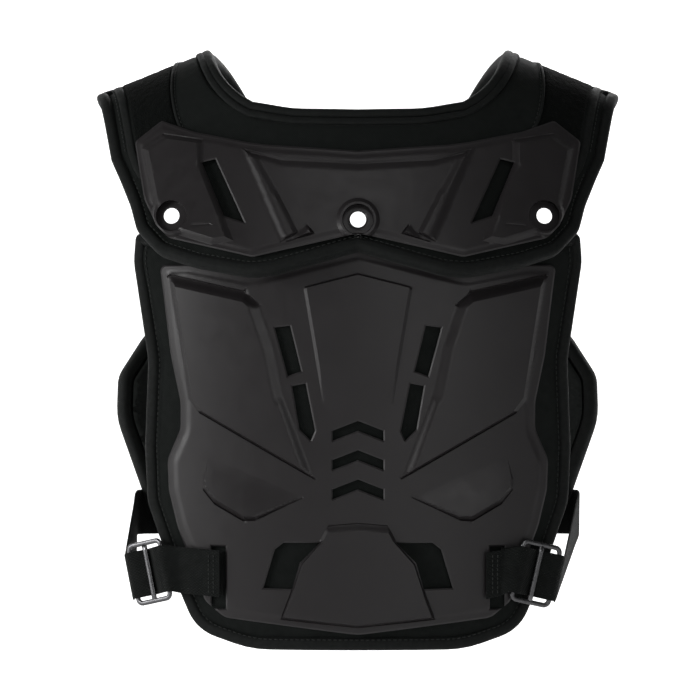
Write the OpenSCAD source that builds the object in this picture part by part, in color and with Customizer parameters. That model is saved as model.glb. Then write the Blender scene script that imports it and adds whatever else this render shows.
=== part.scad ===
// Chest protector vest: a padded front in two overlapping panels with moulded plates,
// a padded back with two plates, shoulder straps, waist webbing and slide buckles.
// The front faces -Y, +Z is up and the wearer's trunk stands on the Z axis.

/* [Walls] */
// Inside radius of the front lower pad, seen from above
lower_r = 320; // [312:2:330]
// Lean of the front lower panel, in degrees
lower_lean = 4; // [3:0.5:5]
// Inside radius of the front upper pad, across its lean
upper_r = 420; // [412:2:430]
// Lean of the front upper panel, in degrees
upper_lean = 24; // [23:0.5:25]
// Inside radius of the back pad, seen from above
back_r = 390; // [382:2:400]
// Lean of the back pad, in degrees
back_lean = 4; // [3:0.5:5]
// Forward lean of the rear shoulder straps, in degrees
rear_lean = 14; // [12:1:16]

/* [Thickness] */
// Thickness of every foam pad with its cover
pad_t = 12; // [11:0.5:12]
// Thickness of the moulded plates
plate_t = 3.2; // [3:0.1:3.4]
// Height of the raised panels above the plates
raise = 3.5; // [2.5:0.5:4]
// Width of the edge binding
binding_w = 11; // [9:1:12]

/* [Holes] */
// Radius of the three fixing holes in the upper plate
hole_r = 6.4; // [5:0.2:7]
// Radius of the round recess about each fixing hole
recess_r = 12; // [11:0.5:12.5]
// Radius of the holes in the pad behind the fixing holes
pad_hole_r = 9.2; // [8.8:0.2:9.4]

/* [Webbing] */
// Width of the waist webbing
webbing_w = 38; // [34:1:40]
// Thickness of the waist webbing
webbing_t = 1.6; // [1.4:0.1:1.8]
// Radius of the buckle's bars
bar_r = 1.6; // [1.4:0.1:1.7]
// Distance between the buckle's bars
bar_pitch = 17; // [16:0.5:18]

/* [Hidden] */

$fn = 48;
wall_fn = 180;      // facets of the large walls in the preview
wall_h = 900;       // length of the cylinders the walls are cut from
cut_depth = 300;    // how far an outline cuts through a wall
gap = 0.3;          // clearance between layers that only touch

plate_gap = 1;      // room for the mesh between a pad and its plate
liner_t = 1.5;
mesh_t = 0.6;
binding_over = 0.8; // how far a binding stands proud of its pad
eyelet_h = 5;

// Heights and depths that place the walls
neck_z = 420;
flex_z = 340;
back_z = 330;
upper_face_y = -99;  // inside of the upper pad at x = 0 and neck_z
lower_face_y = -117; // inside of the lower pad at x = 0 and flex_z
back_face_y = 112;   // inside of the back pad at x = 0 and back_z

// A wall is [y and z of its axis, turn about X, -1 for the front or 1 for the back]
upper_wall = [upper_face_y + upper_r / cos(upper_lean), neck_z, -upper_lean, -1];
lower_wall = [lower_face_y + lower_r / cos(lower_lean), flex_z, lower_lean, -1];
back_wall = [back_face_y - back_r / cos(back_lean), back_z, -back_lean, 1];

upper_plate_r = upper_r + pad_t + plate_gap;
lower_plate_r = lower_r + pad_t + plate_gap;
back_plate_r = back_r + pad_t + plate_gap;

// Half outlines in X and Z from top centre to bottom centre: [x, z, corner radius]
upper_plate_half = [
  [0, 404, 0], [81, 410, 120], [133, 421, 4], [160, 431, 4], [182, 414, 5], [173, 366, 25],
  [162, 344, 10], [152, 334, 10], [118, 326, 30], [84, 318, 10], [0, 337, 40]
];
upper_pad_half = [
  [0, 441, 0], [52, 442, 100], [84, 448, 0], [201, 400, 0], [193, 383, 60],
  [184, 362, 30], [178, 341, 20], [160, 322, 20], [130, 312, 30], [87, 304, 40],
  [66, 306, 30], [0, 325, 60]
];
lower_plate_half = [
  [0, 324, 0], [87, 303, 20], [137, 313, 3], [161, 313, 5], [158, 290, 30], [152, 240, 40],
  [144, 202, 30], [144, 180, 20], [155, 155, 20], [154, 130, 30], [147, 101, 40],
  [139, 80, 30], [124, 40, 12], [108, 27, 15], [66, 22, 60], [0, 14, 40]
];
lower_pad_half = [
  [0, 331, 0], [120, 331, 20], [180, 341, 6], [182, 316, 40], [170, 236, 60],
  [173, 165, 60], [171, 120, 40], [150, 60, 60], [131, 16, 36], [86, 1, 90], [0, 1, 0]
];
back_pad_half = [
  [0, 320, 20], [28, 330, 0], [140, 330, 0], [150, 282, 40], [182, 256, 30],
  [203, 222, 25], [204, 186, 60], [182, 122, 30], [168, 84, 30], [148, 44, 30],
  [112, 18, 30], [0, 16, 0]
];
back_upper_plate_half = [
  [0, 304, 12], [26, 318, 6], [118, 322, 8], [136, 296, 20], [130, 262, 20],
  [96, 236, 16], [44, 226, 20], [0, 240, 12]
];
back_lower_plate_half = [
  [0, 226, 12], [46, 212, 20], [104, 224, 14], [140, 214, 10], [142, 150, 40],
  [132, 80, 30], [106, 42, 16], [0, 34, 40]
];

// Features of the plates, drawn on the right half and mirrored
slot_pts = [[126, 395.5], [115, 398], [91, 346], [107.5, 351.5]];
upper_block_pts = [
  [119, 413], [137, 409], [157, 418], [173, 408], [162, 352], [134, 345], [113, 352]
];
inner_ridge_pts = [[82, 402], [96, 404], [72, 336], [55, 334], [66, 366]];
band_pts = [[0, 390], [92, 402], [82, 366], [48, 340], [0, 344]];
pectoral_pts = [
  [153, 306], [92, 291], [80, 282], [68, 247], [55, 208], [34, 142], [126, 194], [137, 204]
];
long_slots = [
  [[67, 262], [54.5, 263.5], [45.6, 227], [56.5, 223]],
  [[53, 215], [42, 217], [34.5, 179], [38, 171], [47, 180]]
];
window_pts = [[31, 88.5], [60, 88.5], [67, 83], [76.5, 51.5], [53, 51], [47, 72]];
keel_half = [[0, 104], [24, 102], [31, 90], [47, 72], [55, 47], [62, 27], [0, 20]];
spine_half = [[0, 306], [44, 295], [28, 200], [24, 110], [0, 110]];
chevron_pitch = 23.6;
chevron_half_w = 20.5;
chevron_top_z = 187;

hole_places = [[0, 348], [150, 352], [-150, 352]];
upper_rivets = [[40, 384], [-40, 384], [62, 324], [-62, 324], [140, 390], [-140, 390]];
lower_rivets = [
  [20, 296], [-20, 296], [146, 300], [-146, 300], [134, 176], [-134, 176],
  [100, 40], [-100, 40], [0, 28]
];
back_rivets = [
  [100, 306], [-100, 306], [56, 240], [-56, 240], [112, 204], [-112, 204],
  [96, 60], [-96, 60], [0, 48]
];
rivet_r = 2.5;
rivet_head_r = 8;
rivet_head_t = 1.6;
rivet_end = pad_t + plate_gap + 2; // how far a rivet reaches from the pad's inside

// Shoulder straps: the outer skin follows the front wall, a round shoulder and the back
ridge_z_at = 498;     // ridge height at ridge_x
ridge_x = 112;
ridge_slope = 0.408;
strap_start_z = 449.4; // front end of the strap at strap_start_x
strap_start_x = 84;
strap_start_slope = 48 / 117;
strap_rows = 14;
strap_cols = 5;
ridge_gap = 1.2;      // path length left free at the shoulder hinge
rail_w = 10;
piping_w = 7;
panel_w = 38;

// Waist webbing, [left, right]
front_bar_x = [157, 129.5];
tail_x = [112, 104];  // free ends
buckle_turn = [36, 23];
buckle_lean = 14;
strap_z = 63;
bar_z = 66;
bar_out = 8.6;        // front bar above the pad's outer surface
slot_x = 113;
slot_w = 12;
slot_low_z = 34;
slot_high_z = 85;
frame_end = 6;
anchor_z = 106;

// ---------- functions ----------

function unit(v) = v / norm(v);

// Depth y of a wall's radius r at x and z
function wall_y(w, x, z, r) =
  w[0] + (w[3] * sqrt(r * r - x * x) - (z - w[1]) * sin(w[2])) / cos(w[2]);

// The whole outline from its right half
function whole(half) = concat(
  half,
  [for (i = [len(half) - 1:-1:0]) if (half[i][0] > 0.01) [-half[i][0], half[i][1], half[i][2]]]
);

function flip(points) = [for (i = [len(points) - 1:-1:0]) [-points[i][0], points[i][1]]];

// One corner [x, z, r] between its neighbours, as an arc of points
function corner(a, b, c) =
  let (
    p = [b[0], b[1]],
    u = unit([a[0], a[1]] - p),
    v = unit([c[0], c[1]] - p),
    half = acos(max(-1, min(1, u * v))) / 2
  )
  b[2] < 0.1 || half > 89 ? [p] :
  let (
    room = 0.48 * min(norm([a[0], a[1]] - p), norm([c[0], c[1]] - p)),
    reach = min(b[2] / tan(half), room),
    r = reach * tan(half),
    centre = p + unit(u + v) * r / sin(half),
    first = p + u * reach - centre,
    last = p + v * reach - centre,
    a0 = atan2(first[1], first[0]),
    turn0 = atan2(last[1], last[0]) - a0,
    turn = turn0 > 180 ? turn0 - 360 : turn0 < -180 ? turn0 + 360 : turn0,
    steps = max(1, ceil(abs(turn) / 12))
  )
  [for (i = [0:steps]) centre + r * [cos(a0 + turn * i / steps), sin(a0 + turn * i / steps)]];

function rounded(pts) = [
  for (i = [0:len(pts) - 1])
    each corner(pts[(i + len(pts) - 1) % len(pts)], pts[i], pts[(i + 1) % len(pts)])
];

// Outline moved inwards by d; the outline runs clockwise
function inset(pts, d) = [
  for (i = [0:len(pts) - 1])
    let (
      a = pts[(i + len(pts) - 1) % len(pts)],
      b = pts[i],
      c = pts[(i + 1) % len(pts)],
      e = unit([b[0] - a[0], b[1] - a[1]]),
      f = unit([c[0] - b[0], c[1] - b[1]]),
      m = [e[1], -e[0]],
      n = [f[1], -f[0]],
      shift = (m + n) / (1 + m * n) * d,
      convex = e[0] * f[1] - e[1] * f[0] < 0
    )
    [b[0] + shift[0], b[1] + shift[1], b[2] < 0.1 ? 0 : max(1, convex ? b[2] - d : b[2] + d)]
];

// Section of a shoulder strap at x: [y and z of the round's centre, its radius]
function shoulder(x) =
  let (
    nf = [-cos(upper_lean), sin(upper_lean)],
    nb = [cos(rear_lean), sin(rear_lean)],
    df = nf * [wall_y(upper_wall, x, neck_z, upper_r + pad_t), neck_z],
    db = nb * [wall_y(back_wall, x, back_z, back_r + pad_t), back_z],
    top = ridge_z_at - ridge_slope * (abs(x) - ridge_x),
    r = (nb[0] * (df - nf[1] * top) - nf[0] * (db - nb[1] * top))
      / (nb[0] * (1 - nf[1]) - nf[0] * (1 - nb[1]))
  )
  [(df - r - nf[1] * (top - r)) / nf[0], top - r, r];

// Point of the strap at x, path length s from the ridge and depth under the outer skin
function strap_point(x, s, depth) =
  let (
    c = shoulder(x),
    a = max(upper_lean - 90, min(90 - rear_lean, s / c[2] * 180 / PI)),
    rest = s - c[2] * a * PI / 180
  )
  [
    x,
    c[0] + (c[2] - depth) * sin(a) + rest * cos(a),
    c[1] + (c[2] - depth) * cos(a) - rest * sin(a)
  ];

// Path length from the ridge down to height z, on the front and on the back
function front_length(x, z) =
  let (c = shoulder(x), a = 90 - upper_lean)
  c[2] * a * PI / 180 + (c[1] + c[2] * cos(a) - z) / sin(a);
function rear_length(x, z) =
  let (c = shoulder(x), a = 90 - rear_lean)
  c[2] * a * PI / 180 + (c[1] + c[2] * cos(a) - z) / sin(a);

// Edges of the strap: t runs from 0 at the ridge to 1 at the far end
function front_in(t) = 120 - 10 * t - 26 * pow(t, 4);
function front_out(t) = 217.5 - 16.5 * t;
function rear_in(t) = 120 - 92 * pow(t, 1.3);
function rear_out(t) = 217.5 - 77.5 * (1 - pow(1 - t, 1.8));
function start_z(x) = strap_start_z - strap_start_slope * (x - strap_start_x);

function front_path(x, t) = -ridge_gap / 2 - t * (front_length(x, start_z(x)) - ridge_gap / 2);
function rear_path(x, t) = ridge_gap / 2 + t * (rear_length(x, back_z) - ridge_gap / 2);

// Path length at depth d, set back so that the strap's far end is level
function level_path(x, t, d, rear) =
  rear ? rear_path(x, t) - t * d * tan(rear_lean) : front_path(x, t) + t * d * tan(upper_lean);

// A place across the strap: [share of the width, offset in mm]
function across(t, place, rear) =
  let (a = rear ? rear_in(t) : front_in(t), b = rear ? rear_out(t) : front_out(t))
  a + place[0] * (b - a) + place[1];

// Closed ring of points around a lane of the strap
function lane_ring(t, from, to, top, under, rear) =
  let (
    a = across(t, from, rear),
    b = across(t, to, rear),
    xs = [for (i = [0:strap_cols]) a + (b - a) * i / strap_cols]
  )
  concat(
    [for (x = xs) strap_point(x, level_path(x, t, top, rear), top)],
    [for (i = [strap_cols:-1:0]) strap_point(xs[i], level_path(xs[i], t, under, rear), under)]
  );

// Ring of a ribbon at point p that runs along d with its width along v
function ribbon_ring(p, d, v, width, thick) =
  let (n = unit(cross(d, v)))
  [
    p + v * width / 2 + n * thick / 2, p + v * width / 2 - n * thick / 2,
    p - v * width / 2 - n * thick / 2, p - v * width / 2 + n * thick / 2
  ];

// Buckle frame of one side (0 left, 1 right), drawn on the right and mirrored later
function buckle_origin(i) =
  [front_bar_x[i], wall_y(lower_wall, front_bar_x[i], bar_z, lower_r + pad_t + bar_out), bar_z];
function tipped(v) = [
  v[0], v[1] * cos(lower_lean) - v[2] * sin(lower_lean), v[1] * sin(lower_lean) + v[2] * cos(lower_lean)
];
function buckle_dir(i) = tipped(
  [cos(buckle_lean) * cos(buckle_turn[i]), cos(buckle_lean) * sin(buckle_turn[i]), -sin(buckle_lean)]);
function buckle_out(i) = tipped([sin(buckle_turn[i]), -cos(buckle_turn[i]), 0]);
function buckle_up(i) = cross(buckle_dir(i), buckle_out(i)) * -1;
function at_buckle(i, u, n) = buckle_origin(i) + buckle_dir(i) * u + buckle_out(i) * n;

// Point on the front lower panel at radius r, for the webbing, and the panel's upward direction
function on_lower(x, z, r) = [x, wall_y(lower_wall, x, z, r), z];
lower_up = [0, -sin(lower_lean), cos(lower_lean)];

// ---------- shapes ----------

// Curved wall between two radii
module wall(w, r1, r2) {
  translate([0, w[0], w[1]]) rotate([w[2], 0, 0]) translate([0, 0, -wall_h / 2])
    difference() {
      cylinder(r = r2, h = wall_h, $fn = wall_fn);
      translate([0, 0, -1]) cylinder(r = r1, h = wall_h + 2, $fn = wall_fn);
    }
}

// Prism of an outline through the front (side -1) or the back (side 1)
module prism(points, side = -1) {
  translate([0, side > 0 ? cut_depth : 0, 0]) rotate([90, 0, 0])
    linear_extrude(cut_depth) polygon(points);
}

module both(points, side = -1) {
  prism(points, side);
  prism(flip(points), side);
}

module panel(w, r1, r2, points) {
  intersection() {
    wall(w, r1, r2);
    prism(points, w[3]);
  }
}

// Ring between an outline and the same outline moved inwards
module edge(w, r1, r2, half, width) {
  intersection() {
    wall(w, r1, r2);
    difference() {
      prism(rounded(whole(half)), w[3]);
      prism(rounded(inset(whole(half), width)), w[3]);
    }
  }
}

// Children stand on a wall's radius r at x and z, their +Z pointing outwards
module on_wall(w, x, z, r) {
  y = w[3] * sqrt(r * r - x * x);
  translate([0, w[0], w[1]]) rotate([w[2], 0, 0])
    translate([0, 0, (z - w[1] - y * sin(w[2])) / cos(w[2])])
      rotate([0, 0, -w[3] * asin(x / r)]) translate([0, w[3] * r, 0])
        rotate([-90 * w[3], 0, 0]) children();
}

// Closed solid through a list of equal rings; each ring is a strip, so its caps are too
module skin(rings) {
  k = len(rings[0]);
  last = (len(rings) - 1) * k;
  polyhedron(
    points = [for (ring = rings) each ring],
    faces = concat(
      [for (i = [0:k / 2 - 2]) each [[i, k - 1 - i, i + 1], [i + 1, k - 1 - i, k - 2 - i]]],
      [for (j = [0:k:last - k], i = [0:k - 1])
        each [[j + i, j + (i + 1) % k, j + k + i], [j + k + i, j + (i + 1) % k, j + k + (i + 1) % k]]],
      [for (i = [0:k / 2 - 2])
        each [[last + i, last + i + 1, last + k - 1 - i],
              [last + i + 1, last + k - 2 - i, last + k - 1 - i]]]
    ),
    convexity = 6
  );
}

// Lane of a front or rear shoulder strap on the right side
module lane(from, to, top, under, rear = false) {
  rings = [for (j = [0:strap_rows]) lane_ring(j / strap_rows, from, to, top, under, rear)];
  if (rear) skin([for (j = [strap_rows:-1:0]) rings[j]]);
  else skin(rings);
}

module ribbon(path, ups, width = webbing_w, thick = webbing_t) {
  last = len(path) - 1;
  skin([for (i = [0:last])
    ribbon_ring(path[i], unit(path[min(i + 1, last)] - path[max(i - 1, 0)]), ups[i], width, thick)]);
}

// Right side as drawn, or mirrored to the left
module side(i) {
  if (i == 0) mirror([1, 0, 0]) children();
  else children();
}

// Push rivets from the lining through the pad into the plate; r is the pad's inside radius
module rivets(w, r, places) {
  for (p = places) on_wall(w, p[0], p[1], r) translate([0, 0, -liner_t]) {
    translate([0, 0, -rivet_head_t - gap]) cylinder(r = rivet_head_r, h = rivet_head_t);
    translate([0, 0, -2 * gap]) cylinder(r = rivet_r, h = liner_t + rivet_end + 2 * gap - 0.1);
  }
}

module rivet_holes(w, r, places) {
  for (p = places) on_wall(w, p[0], p[1], r) translate([0, 0, -5])
    cylinder(r = rivet_r + 0.4, h = rivet_end + 5);
}

// ---------- front upper panel ----------

// Children stand on the outside of the upper pad, in line with a hole of the plate
module on_pad_hole(p) {
  on_wall(upper_wall, p[0], p[1], upper_plate_r) translate([0, 0, -plate_gap]) children();
}

module front_upper_plate() color([0.14, 0.135, 0.14]) {
  top_r = upper_plate_r + plate_t;
  floor_t = 2.7;
  difference() {
    union() {
      panel(upper_wall, upper_plate_r, top_r, rounded(whole(upper_plate_half)));
      intersection() {
        wall(upper_wall, upper_plate_r + 1, top_r + raise);
        union() {
          both(upper_block_pts);
          both(inner_ridge_pts);
        }
      }
      for (p = hole_places) on_wall(upper_wall, p[0], p[1], upper_plate_r + 0.5)
        cylinder(r = recess_r + 3, h = plate_t + raise + 0.6);
    }
    both(slot_pts);
    intersection() {
      wall(upper_wall, top_r - 1, top_r + 20);
      prism(concat(band_pts, [for (i = [4:-1:1]) [-band_pts[i][0], band_pts[i][1]]]));
    }
    for (p = hole_places) on_wall(upper_wall, p[0], p[1], upper_plate_r) {
      translate([0, 0, floor_t]) cylinder(r = recess_r, h = 20);
      translate([0, 0, -5]) cylinder(r = hole_r, h = 30);
    }
    rivet_holes(upper_wall, upper_r, upper_rivets);
  }
}

module front_upper_pad() color([0.07, 0.08, 0.075]) {
  difference() {
    panel(upper_wall, upper_r, upper_r + pad_t,
      rounded(inset(whole(upper_pad_half), binding_w)));
    for (p = hole_places) on_pad_hole(p) translate([0, 0, -pad_t - 5])
      cylinder(r = pad_hole_r, h = pad_t + 10);
    rivet_holes(upper_wall, upper_r, upper_rivets);
  }
}

module front_upper_binding() color([0.05, 0.055, 0.05]) {
  edge(upper_wall, upper_r - binding_over, upper_r + pad_t + binding_over / 2,
    upper_pad_half, binding_w - 0.05);
}

module upper_eyelets() color([0.05, 0.05, 0.05]) {
  for (p = hole_places) on_pad_hole(p) translate([0, 0, -eyelet_h]) difference() {
    cylinder(r = pad_hole_r - 0.1, h = eyelet_h);
    translate([0, 0, -1]) cylinder(r = pad_hole_r - 1.2, h = eyelet_h + 2);
  }
}

module upper_plate_rivets() color([0.1, 0.1, 0.1])
  rivets(upper_wall, upper_r, upper_rivets);

module upper_liner() color([0.16, 0.17, 0.16]) {
  difference() {
    panel(upper_wall, upper_r - liner_t, upper_r - 0.05,
      rounded(inset(whole(upper_pad_half), binding_w + 3)));
    for (p = hole_places) on_pad_hole(p) translate([0, 0, -pad_t - 5]) cylinder(r = pad_hole_r + 2, h = 10);
    rivet_holes(upper_wall, upper_r, upper_rivets);
  }
}

// ---------- shoulders ----------

module strap(i, rear) color([0.07, 0.08, 0.075]) side(i)
  lane([0, piping_w + 2 * gap], [1, -rail_w - 2 * gap], 2.1, pad_t, rear);

module loop_strip(i) color([0.1, 0.1, 0.1]) side(i)
  lane([0, panel_w + 9], [1, -rail_w - 1.5], 0.4, 1.9);

module strap_panel(i) color([0.09, 0.1, 0.095]) side(i)
  lane([0, piping_w + 1], [0, panel_w + 7], -1, 1.9);

module shoulder_rails(rear) color([0.05, 0.055, 0.05]) for (i = [0, 1]) side(i)
  lane([1, -rail_w], [1, 0], -1.5, pad_t + 0.5, rear);

module collar_piping() color([0.05, 0.055, 0.05]) for (i = [0, 1]) side(i)
  lane([0, 0], [0, piping_w], -1.5, pad_t + 0.5);

// ---------- front lower panel ----------

function chevron(z) = [
  [0, z], [chevron_half_w, z - 8], [chevron_half_w, z - 16], [0, z - 8],
  [-chevron_half_w, z - 16], [-chevron_half_w, z - 8]
];

module front_lower_plate() color([0.14, 0.135, 0.14]) {
  top_r = lower_plate_r + plate_t;
  difference() {
    union() {
      panel(lower_wall, lower_plate_r, top_r, rounded(whole(lower_plate_half)));
      intersection() {
        wall(lower_wall, lower_plate_r + 1, top_r + raise);
        union() {
          both(pectoral_pts);
          prism(concat(keel_half, [for (i = [5:-1:1]) [-keel_half[i][0], keel_half[i][1]]]));
        }
      }
      intersection() {
        wall(lower_wall, lower_plate_r + 1, top_r + raise / 2);
        prism(concat(spine_half, [for (i = [3:-1:1]) [-spine_half[i][0], spine_half[i][1]]]));
      }
    }
    for (slot = long_slots) both(slot);
    both(window_pts);
    for (i = [0:2]) prism(chevron(chevron_top_z - i * chevron_pitch));
    for (s = [-1, 1]) translate([s * slot_x - slot_w / 2, -cut_depth, slot_low_z])
      cube([slot_w, cut_depth, slot_high_z - slot_low_z]);
    rivet_holes(lower_wall, lower_r, lower_rivets);
  }
}

module front_lower_pad() color([0.07, 0.08, 0.075]) {
  difference() {
    panel(lower_wall, lower_r, lower_r + pad_t,
      rounded(inset(whole(lower_pad_half), binding_w)));
    rivet_holes(lower_wall, lower_r, lower_rivets);
  }
}

module front_lower_binding() color([0.05, 0.055, 0.05]) {
  edge(lower_wall, lower_r - binding_over, lower_r + pad_t + binding_over / 2,
    lower_pad_half, binding_w - 0.05);
}

// Air mesh that shows through the plate's vents
module vent_mesh() color([0.03, 0.03, 0.03]) {
  half = [[0, 272], [74, 272], [60, 196], [30, 118], [0, 118]];
  panel(lower_wall, lower_r + pad_t + 0.1, lower_r + pad_t + 0.1 + mesh_t,
    concat(half, [for (i = [3:-1:1]) [-half[i][0], half[i][1]]]));
}

module lower_plate_rivets() color([0.1, 0.1, 0.1]) rivets(lower_wall, lower_r, lower_rivets);

module lower_liner() color([0.16, 0.17, 0.16]) {
  difference() {
    panel(lower_wall, lower_r - liner_t, lower_r - 0.05,
      rounded(inset(whole(lower_pad_half), binding_w + 3)));
    rivet_holes(lower_wall, lower_r, lower_rivets);
  }
}

// Two soft webs behind the overlap, from the lower pad's top up to the upper pad
module flex_gusset() color([0.06, 0.065, 0.06]) {
  low_z = lower_pad_half[0][1] + 1;
  top_z = low_z + 34;
  half_t = 1.5;
  for (i = [0, 1]) side(i) skin([for (x = [28:20:128])
    let (
      y0 = wall_y(lower_wall, x, low_z, lower_r + pad_t / 2),
      y1 = wall_y(upper_wall, x, top_z, upper_r - liner_t) + half_t + gap
    )
    [
      [x, y0 - half_t, low_z], [x, y1 - half_t, top_z],
      [x, y1 + half_t, top_z], [x, y0 + half_t, low_z]
    ]]);
}

// Short loop of webbing: through the plate's slot, round the buckle's front bar and back
module front_webbing(i) color([0.12, 0.13, 0.12]) side(i) {
  bar = front_bar_x[i];
  under = lower_plate_r + plate_t + 2 * gap + webbing_t / 2;
  loop_r = bar_r + gap + webbing_t / 2;
  steps = 8;
  through = concat(
    [
      on_lower(slot_x - 4, strap_z, lower_plate_r + 0.9), on_lower(slot_x, strap_z, lower_plate_r + 1.2),
      on_lower(slot_x + 3, strap_z, under - 0.8)
    ],
    [for (x = [slot_x + 7:7:bar - 14]) on_lower(x, strap_z + 3 * (x - slot_x) / (bar - slot_x), under)]
  );
  around = concat(
    [at_buckle(i, -6, -loop_r), at_buckle(i, -3, -loop_r)],
    [for (k = [0:steps])
      let (a = -90 + 180 * k / steps) at_buckle(i, loop_r * cos(a), loop_r * sin(a))],
    [at_buckle(i, -3, loop_r - gap)]
  );
  back_ply = [for (x = [bar - 9, bar - 13]) on_lower(x, bar_z, under + webbing_t + gap)];
  ups = concat(
    [for (p = through) lower_up], [for (p = around) buckle_up(i)], [for (p = back_ply) lower_up]
  );
  ribbon(concat(through, around, back_ply), ups, webbing_w - 2);
}

// ---------- back ----------

module back_plate(half, vents) color([0.14, 0.135, 0.14]) {
  top_r = back_plate_r + plate_t;
  difference() {
    union() {
      panel(back_wall, back_plate_r, top_r, rounded(whole(half)));
      intersection() {
        wall(back_wall, back_plate_r + 1, top_r + raise);
        prism(rounded(inset(whole(half), 22)), 1);
      }
    }
    for (points = vents) both(points, 1);
    rivet_holes(back_wall, back_r, back_rivets);
  }
}

module back_upper_plate() back_plate(back_upper_plate_half,
  [[[104, 296], [92, 297], [72, 254], [86, 256]], [[68, 292], [56, 293], [44, 258], [56, 258]]]);

module back_lower_plate() back_plate(back_lower_plate_half,
  [for (i = [0:2]) [[78, 184 - 34 * i], [34, 172 - 34 * i], [34, 164 - 34 * i], [78, 176 - 34 * i]]]);

module back_pad() color([0.07, 0.08, 0.075]) {
  difference() {
    panel(back_wall, back_r, back_r + pad_t, rounded(inset(whole(back_pad_half), binding_w)));
    rivet_holes(back_wall, back_r, back_rivets);
  }
}

module back_binding() color([0.05, 0.055, 0.05]) {
  edge(back_wall, back_r - binding_over, back_r + pad_t + binding_over / 2,
    back_pad_half, binding_w - 0.05);
}

module back_plate_rivets() color([0.1, 0.1, 0.1]) rivets(back_wall, back_r, back_rivets);

module back_liner() color([0.16, 0.17, 0.16]) {
  difference() {
    panel(back_wall, back_r - liner_t, back_r - 0.05,
      rounded(inset(whole(back_pad_half), binding_w + 3)));
    rivet_holes(back_wall, back_r, back_rivets);
  }
}

// Sewn patches that hold the waist webbing to the back pad
module webbing_patches() color([0.1, 0.11, 0.1]) for (i = [0, 1]) side(i)
  panel(back_wall, back_r + pad_t + 3.2, back_r + pad_t + 4.4,
    [[145, 84], [167, 84], [171, 128], [145, 128]]);

// ---------- waist ----------

// Webbing from the back pad, over the rear bar, under the middle bar, over the front bar
// and back along the plate to its free end
module waist_webbing(i) color([0.12, 0.13, 0.12]) side(i) {
  base_r = lower_plate_r + plate_t;
  bar = front_bar_x[i];
  over = base_r + 0.6 + 2.5 * webbing_t + 3 * gap;
  near = bar_r + 0.35 + webbing_t / 2;
  front_n = near + webbing_t + 3 * gap;
  tail_xs = [for (k = [0:4]) tail_x[i] + (bar - 12 - tail_x[i]) * k / 4];
  anchor_r = back_r + pad_t + 2;
  anchor_y = wall_y(back_wall, 178, anchor_z, anchor_r);
  rear = at_buckle(i, 2 * bar_pitch, near);
  tail = [for (x = tail_xs) on_lower(x, strap_z + 3 * (x - slot_x) / (bar - slot_x), over)];
  woven = [
    at_buckle(i, -5, front_n - 0.3), at_buckle(i, 0, front_n), at_buckle(i, 4, front_n - 0.8),
    at_buckle(i, 8.5, 1), at_buckle(i, 13, -near + 0.6), at_buckle(i, bar_pitch, -near - 0.1),
    at_buckle(i, 21, -near + 0.6), at_buckle(i, 25.5, 0.2), at_buckle(i, 30, near - 0.6), rear,
    at_buckle(i, 2 * bar_pitch + 4, near - 2), at_buckle(i, 2 * bar_pitch + 7, near - 6)
  ];
  leave = woven[11];
  anchor = [188, anchor_y - 13, anchor_z - 1];
  run = [for (k = [1:6]) leave + (anchor - leave) * k / 6];
  seat = [for (x = [184, 174, 161, 148]) [x, wall_y(back_wall, x, anchor_z, anchor_r), anchor_z]];
  path = concat(tail, woven, run, seat);
  ups = concat(
    [for (k = [0:4]) unit(lower_up + buckle_up(i) * k / 4)],
    [for (k = [0:11]) buckle_up(i)],
    [for (k = [1:6]) unit(buckle_up(i) * (6 - k) / 6 + [0, -0.2, 1] * k / 6)],
    [for (k = [0:3]) [0, sin(back_lean), cos(back_lean)]]
  );
  ribbon(path, ups);
}

// Slide with three bars; its own frame has +X along the strap and +Z along the bars
module buckle(i) color([0.25, 0.25, 0.27]) side(i) {
  half_h = webbing_w / 2 + 2.5;
  translate(buckle_origin(i)) rotate([lower_lean, 0, 0]) rotate([0, 0, buckle_turn[i]]) rotate([0, buckle_lean, 0]) {
    for (k = [0:2]) translate([k * bar_pitch, 0, -half_h - 1]) cylinder(r = bar_r, h = 2 * half_h + 2);
    for (s = [-1, 1]) translate([0, 0, s > 0 ? half_h : -half_h - frame_end + 1]) {
      translate([-1.6, -2, 0]) cube([2 * bar_pitch + 3.2, 4, frame_end - 1]);
      for (x = [-1.6, 2 * bar_pitch + 1.6]) translate([x, 0, 0]) cylinder(r = 2, h = frame_end - 1);
    }
  }
}

front_upper_plate();
front_upper_pad();
front_upper_binding();
upper_eyelets();
upper_plate_rivets();
strap(0, false);  // front_strap_left
strap(1, false);  // front_strap_right
loop_strip(0);  // loop_strip_left
loop_strip(1);  // loop_strip_right
strap_panel(0);  // strap_panel_left
strap_panel(1);  // strap_panel_right
shoulder_rails(false);  // shoulder_rails_front
collar_piping();
upper_liner();
front_lower_plate();
front_lower_pad();
front_lower_binding();
vent_mesh();
lower_plate_rivets();
front_webbing(0);  // front_webbing_left
front_webbing(1);  // front_webbing_right
lower_liner();
flex_gusset();
back_upper_plate();
back_lower_plate();
back_pad();
back_binding();
back_plate_rivets();
back_liner();
strap(0, true);  // rear_strap_left
strap(1, true);  // rear_strap_right
shoulder_rails(true);  // shoulder_rails_rear
webbing_patches();
waist_webbing(0);  // waist_webbing_left
waist_webbing(1);  // waist_webbing_right
buckle(0);  // buckle_left
buckle(1);  // buckle_right
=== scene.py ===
"""Looks of the chest protector vest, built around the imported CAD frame.

Lengths in this file are millimetres up to the moment a mesh is made; Blender gets metres.
Every panel is drawn as an outline in X and Z on a curved wall, as in the CAD part.
"""
import math

import bmesh
import bpy
import numpy as np
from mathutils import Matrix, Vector
from mathutils.geometry import delaunay_2d_cdt


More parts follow.
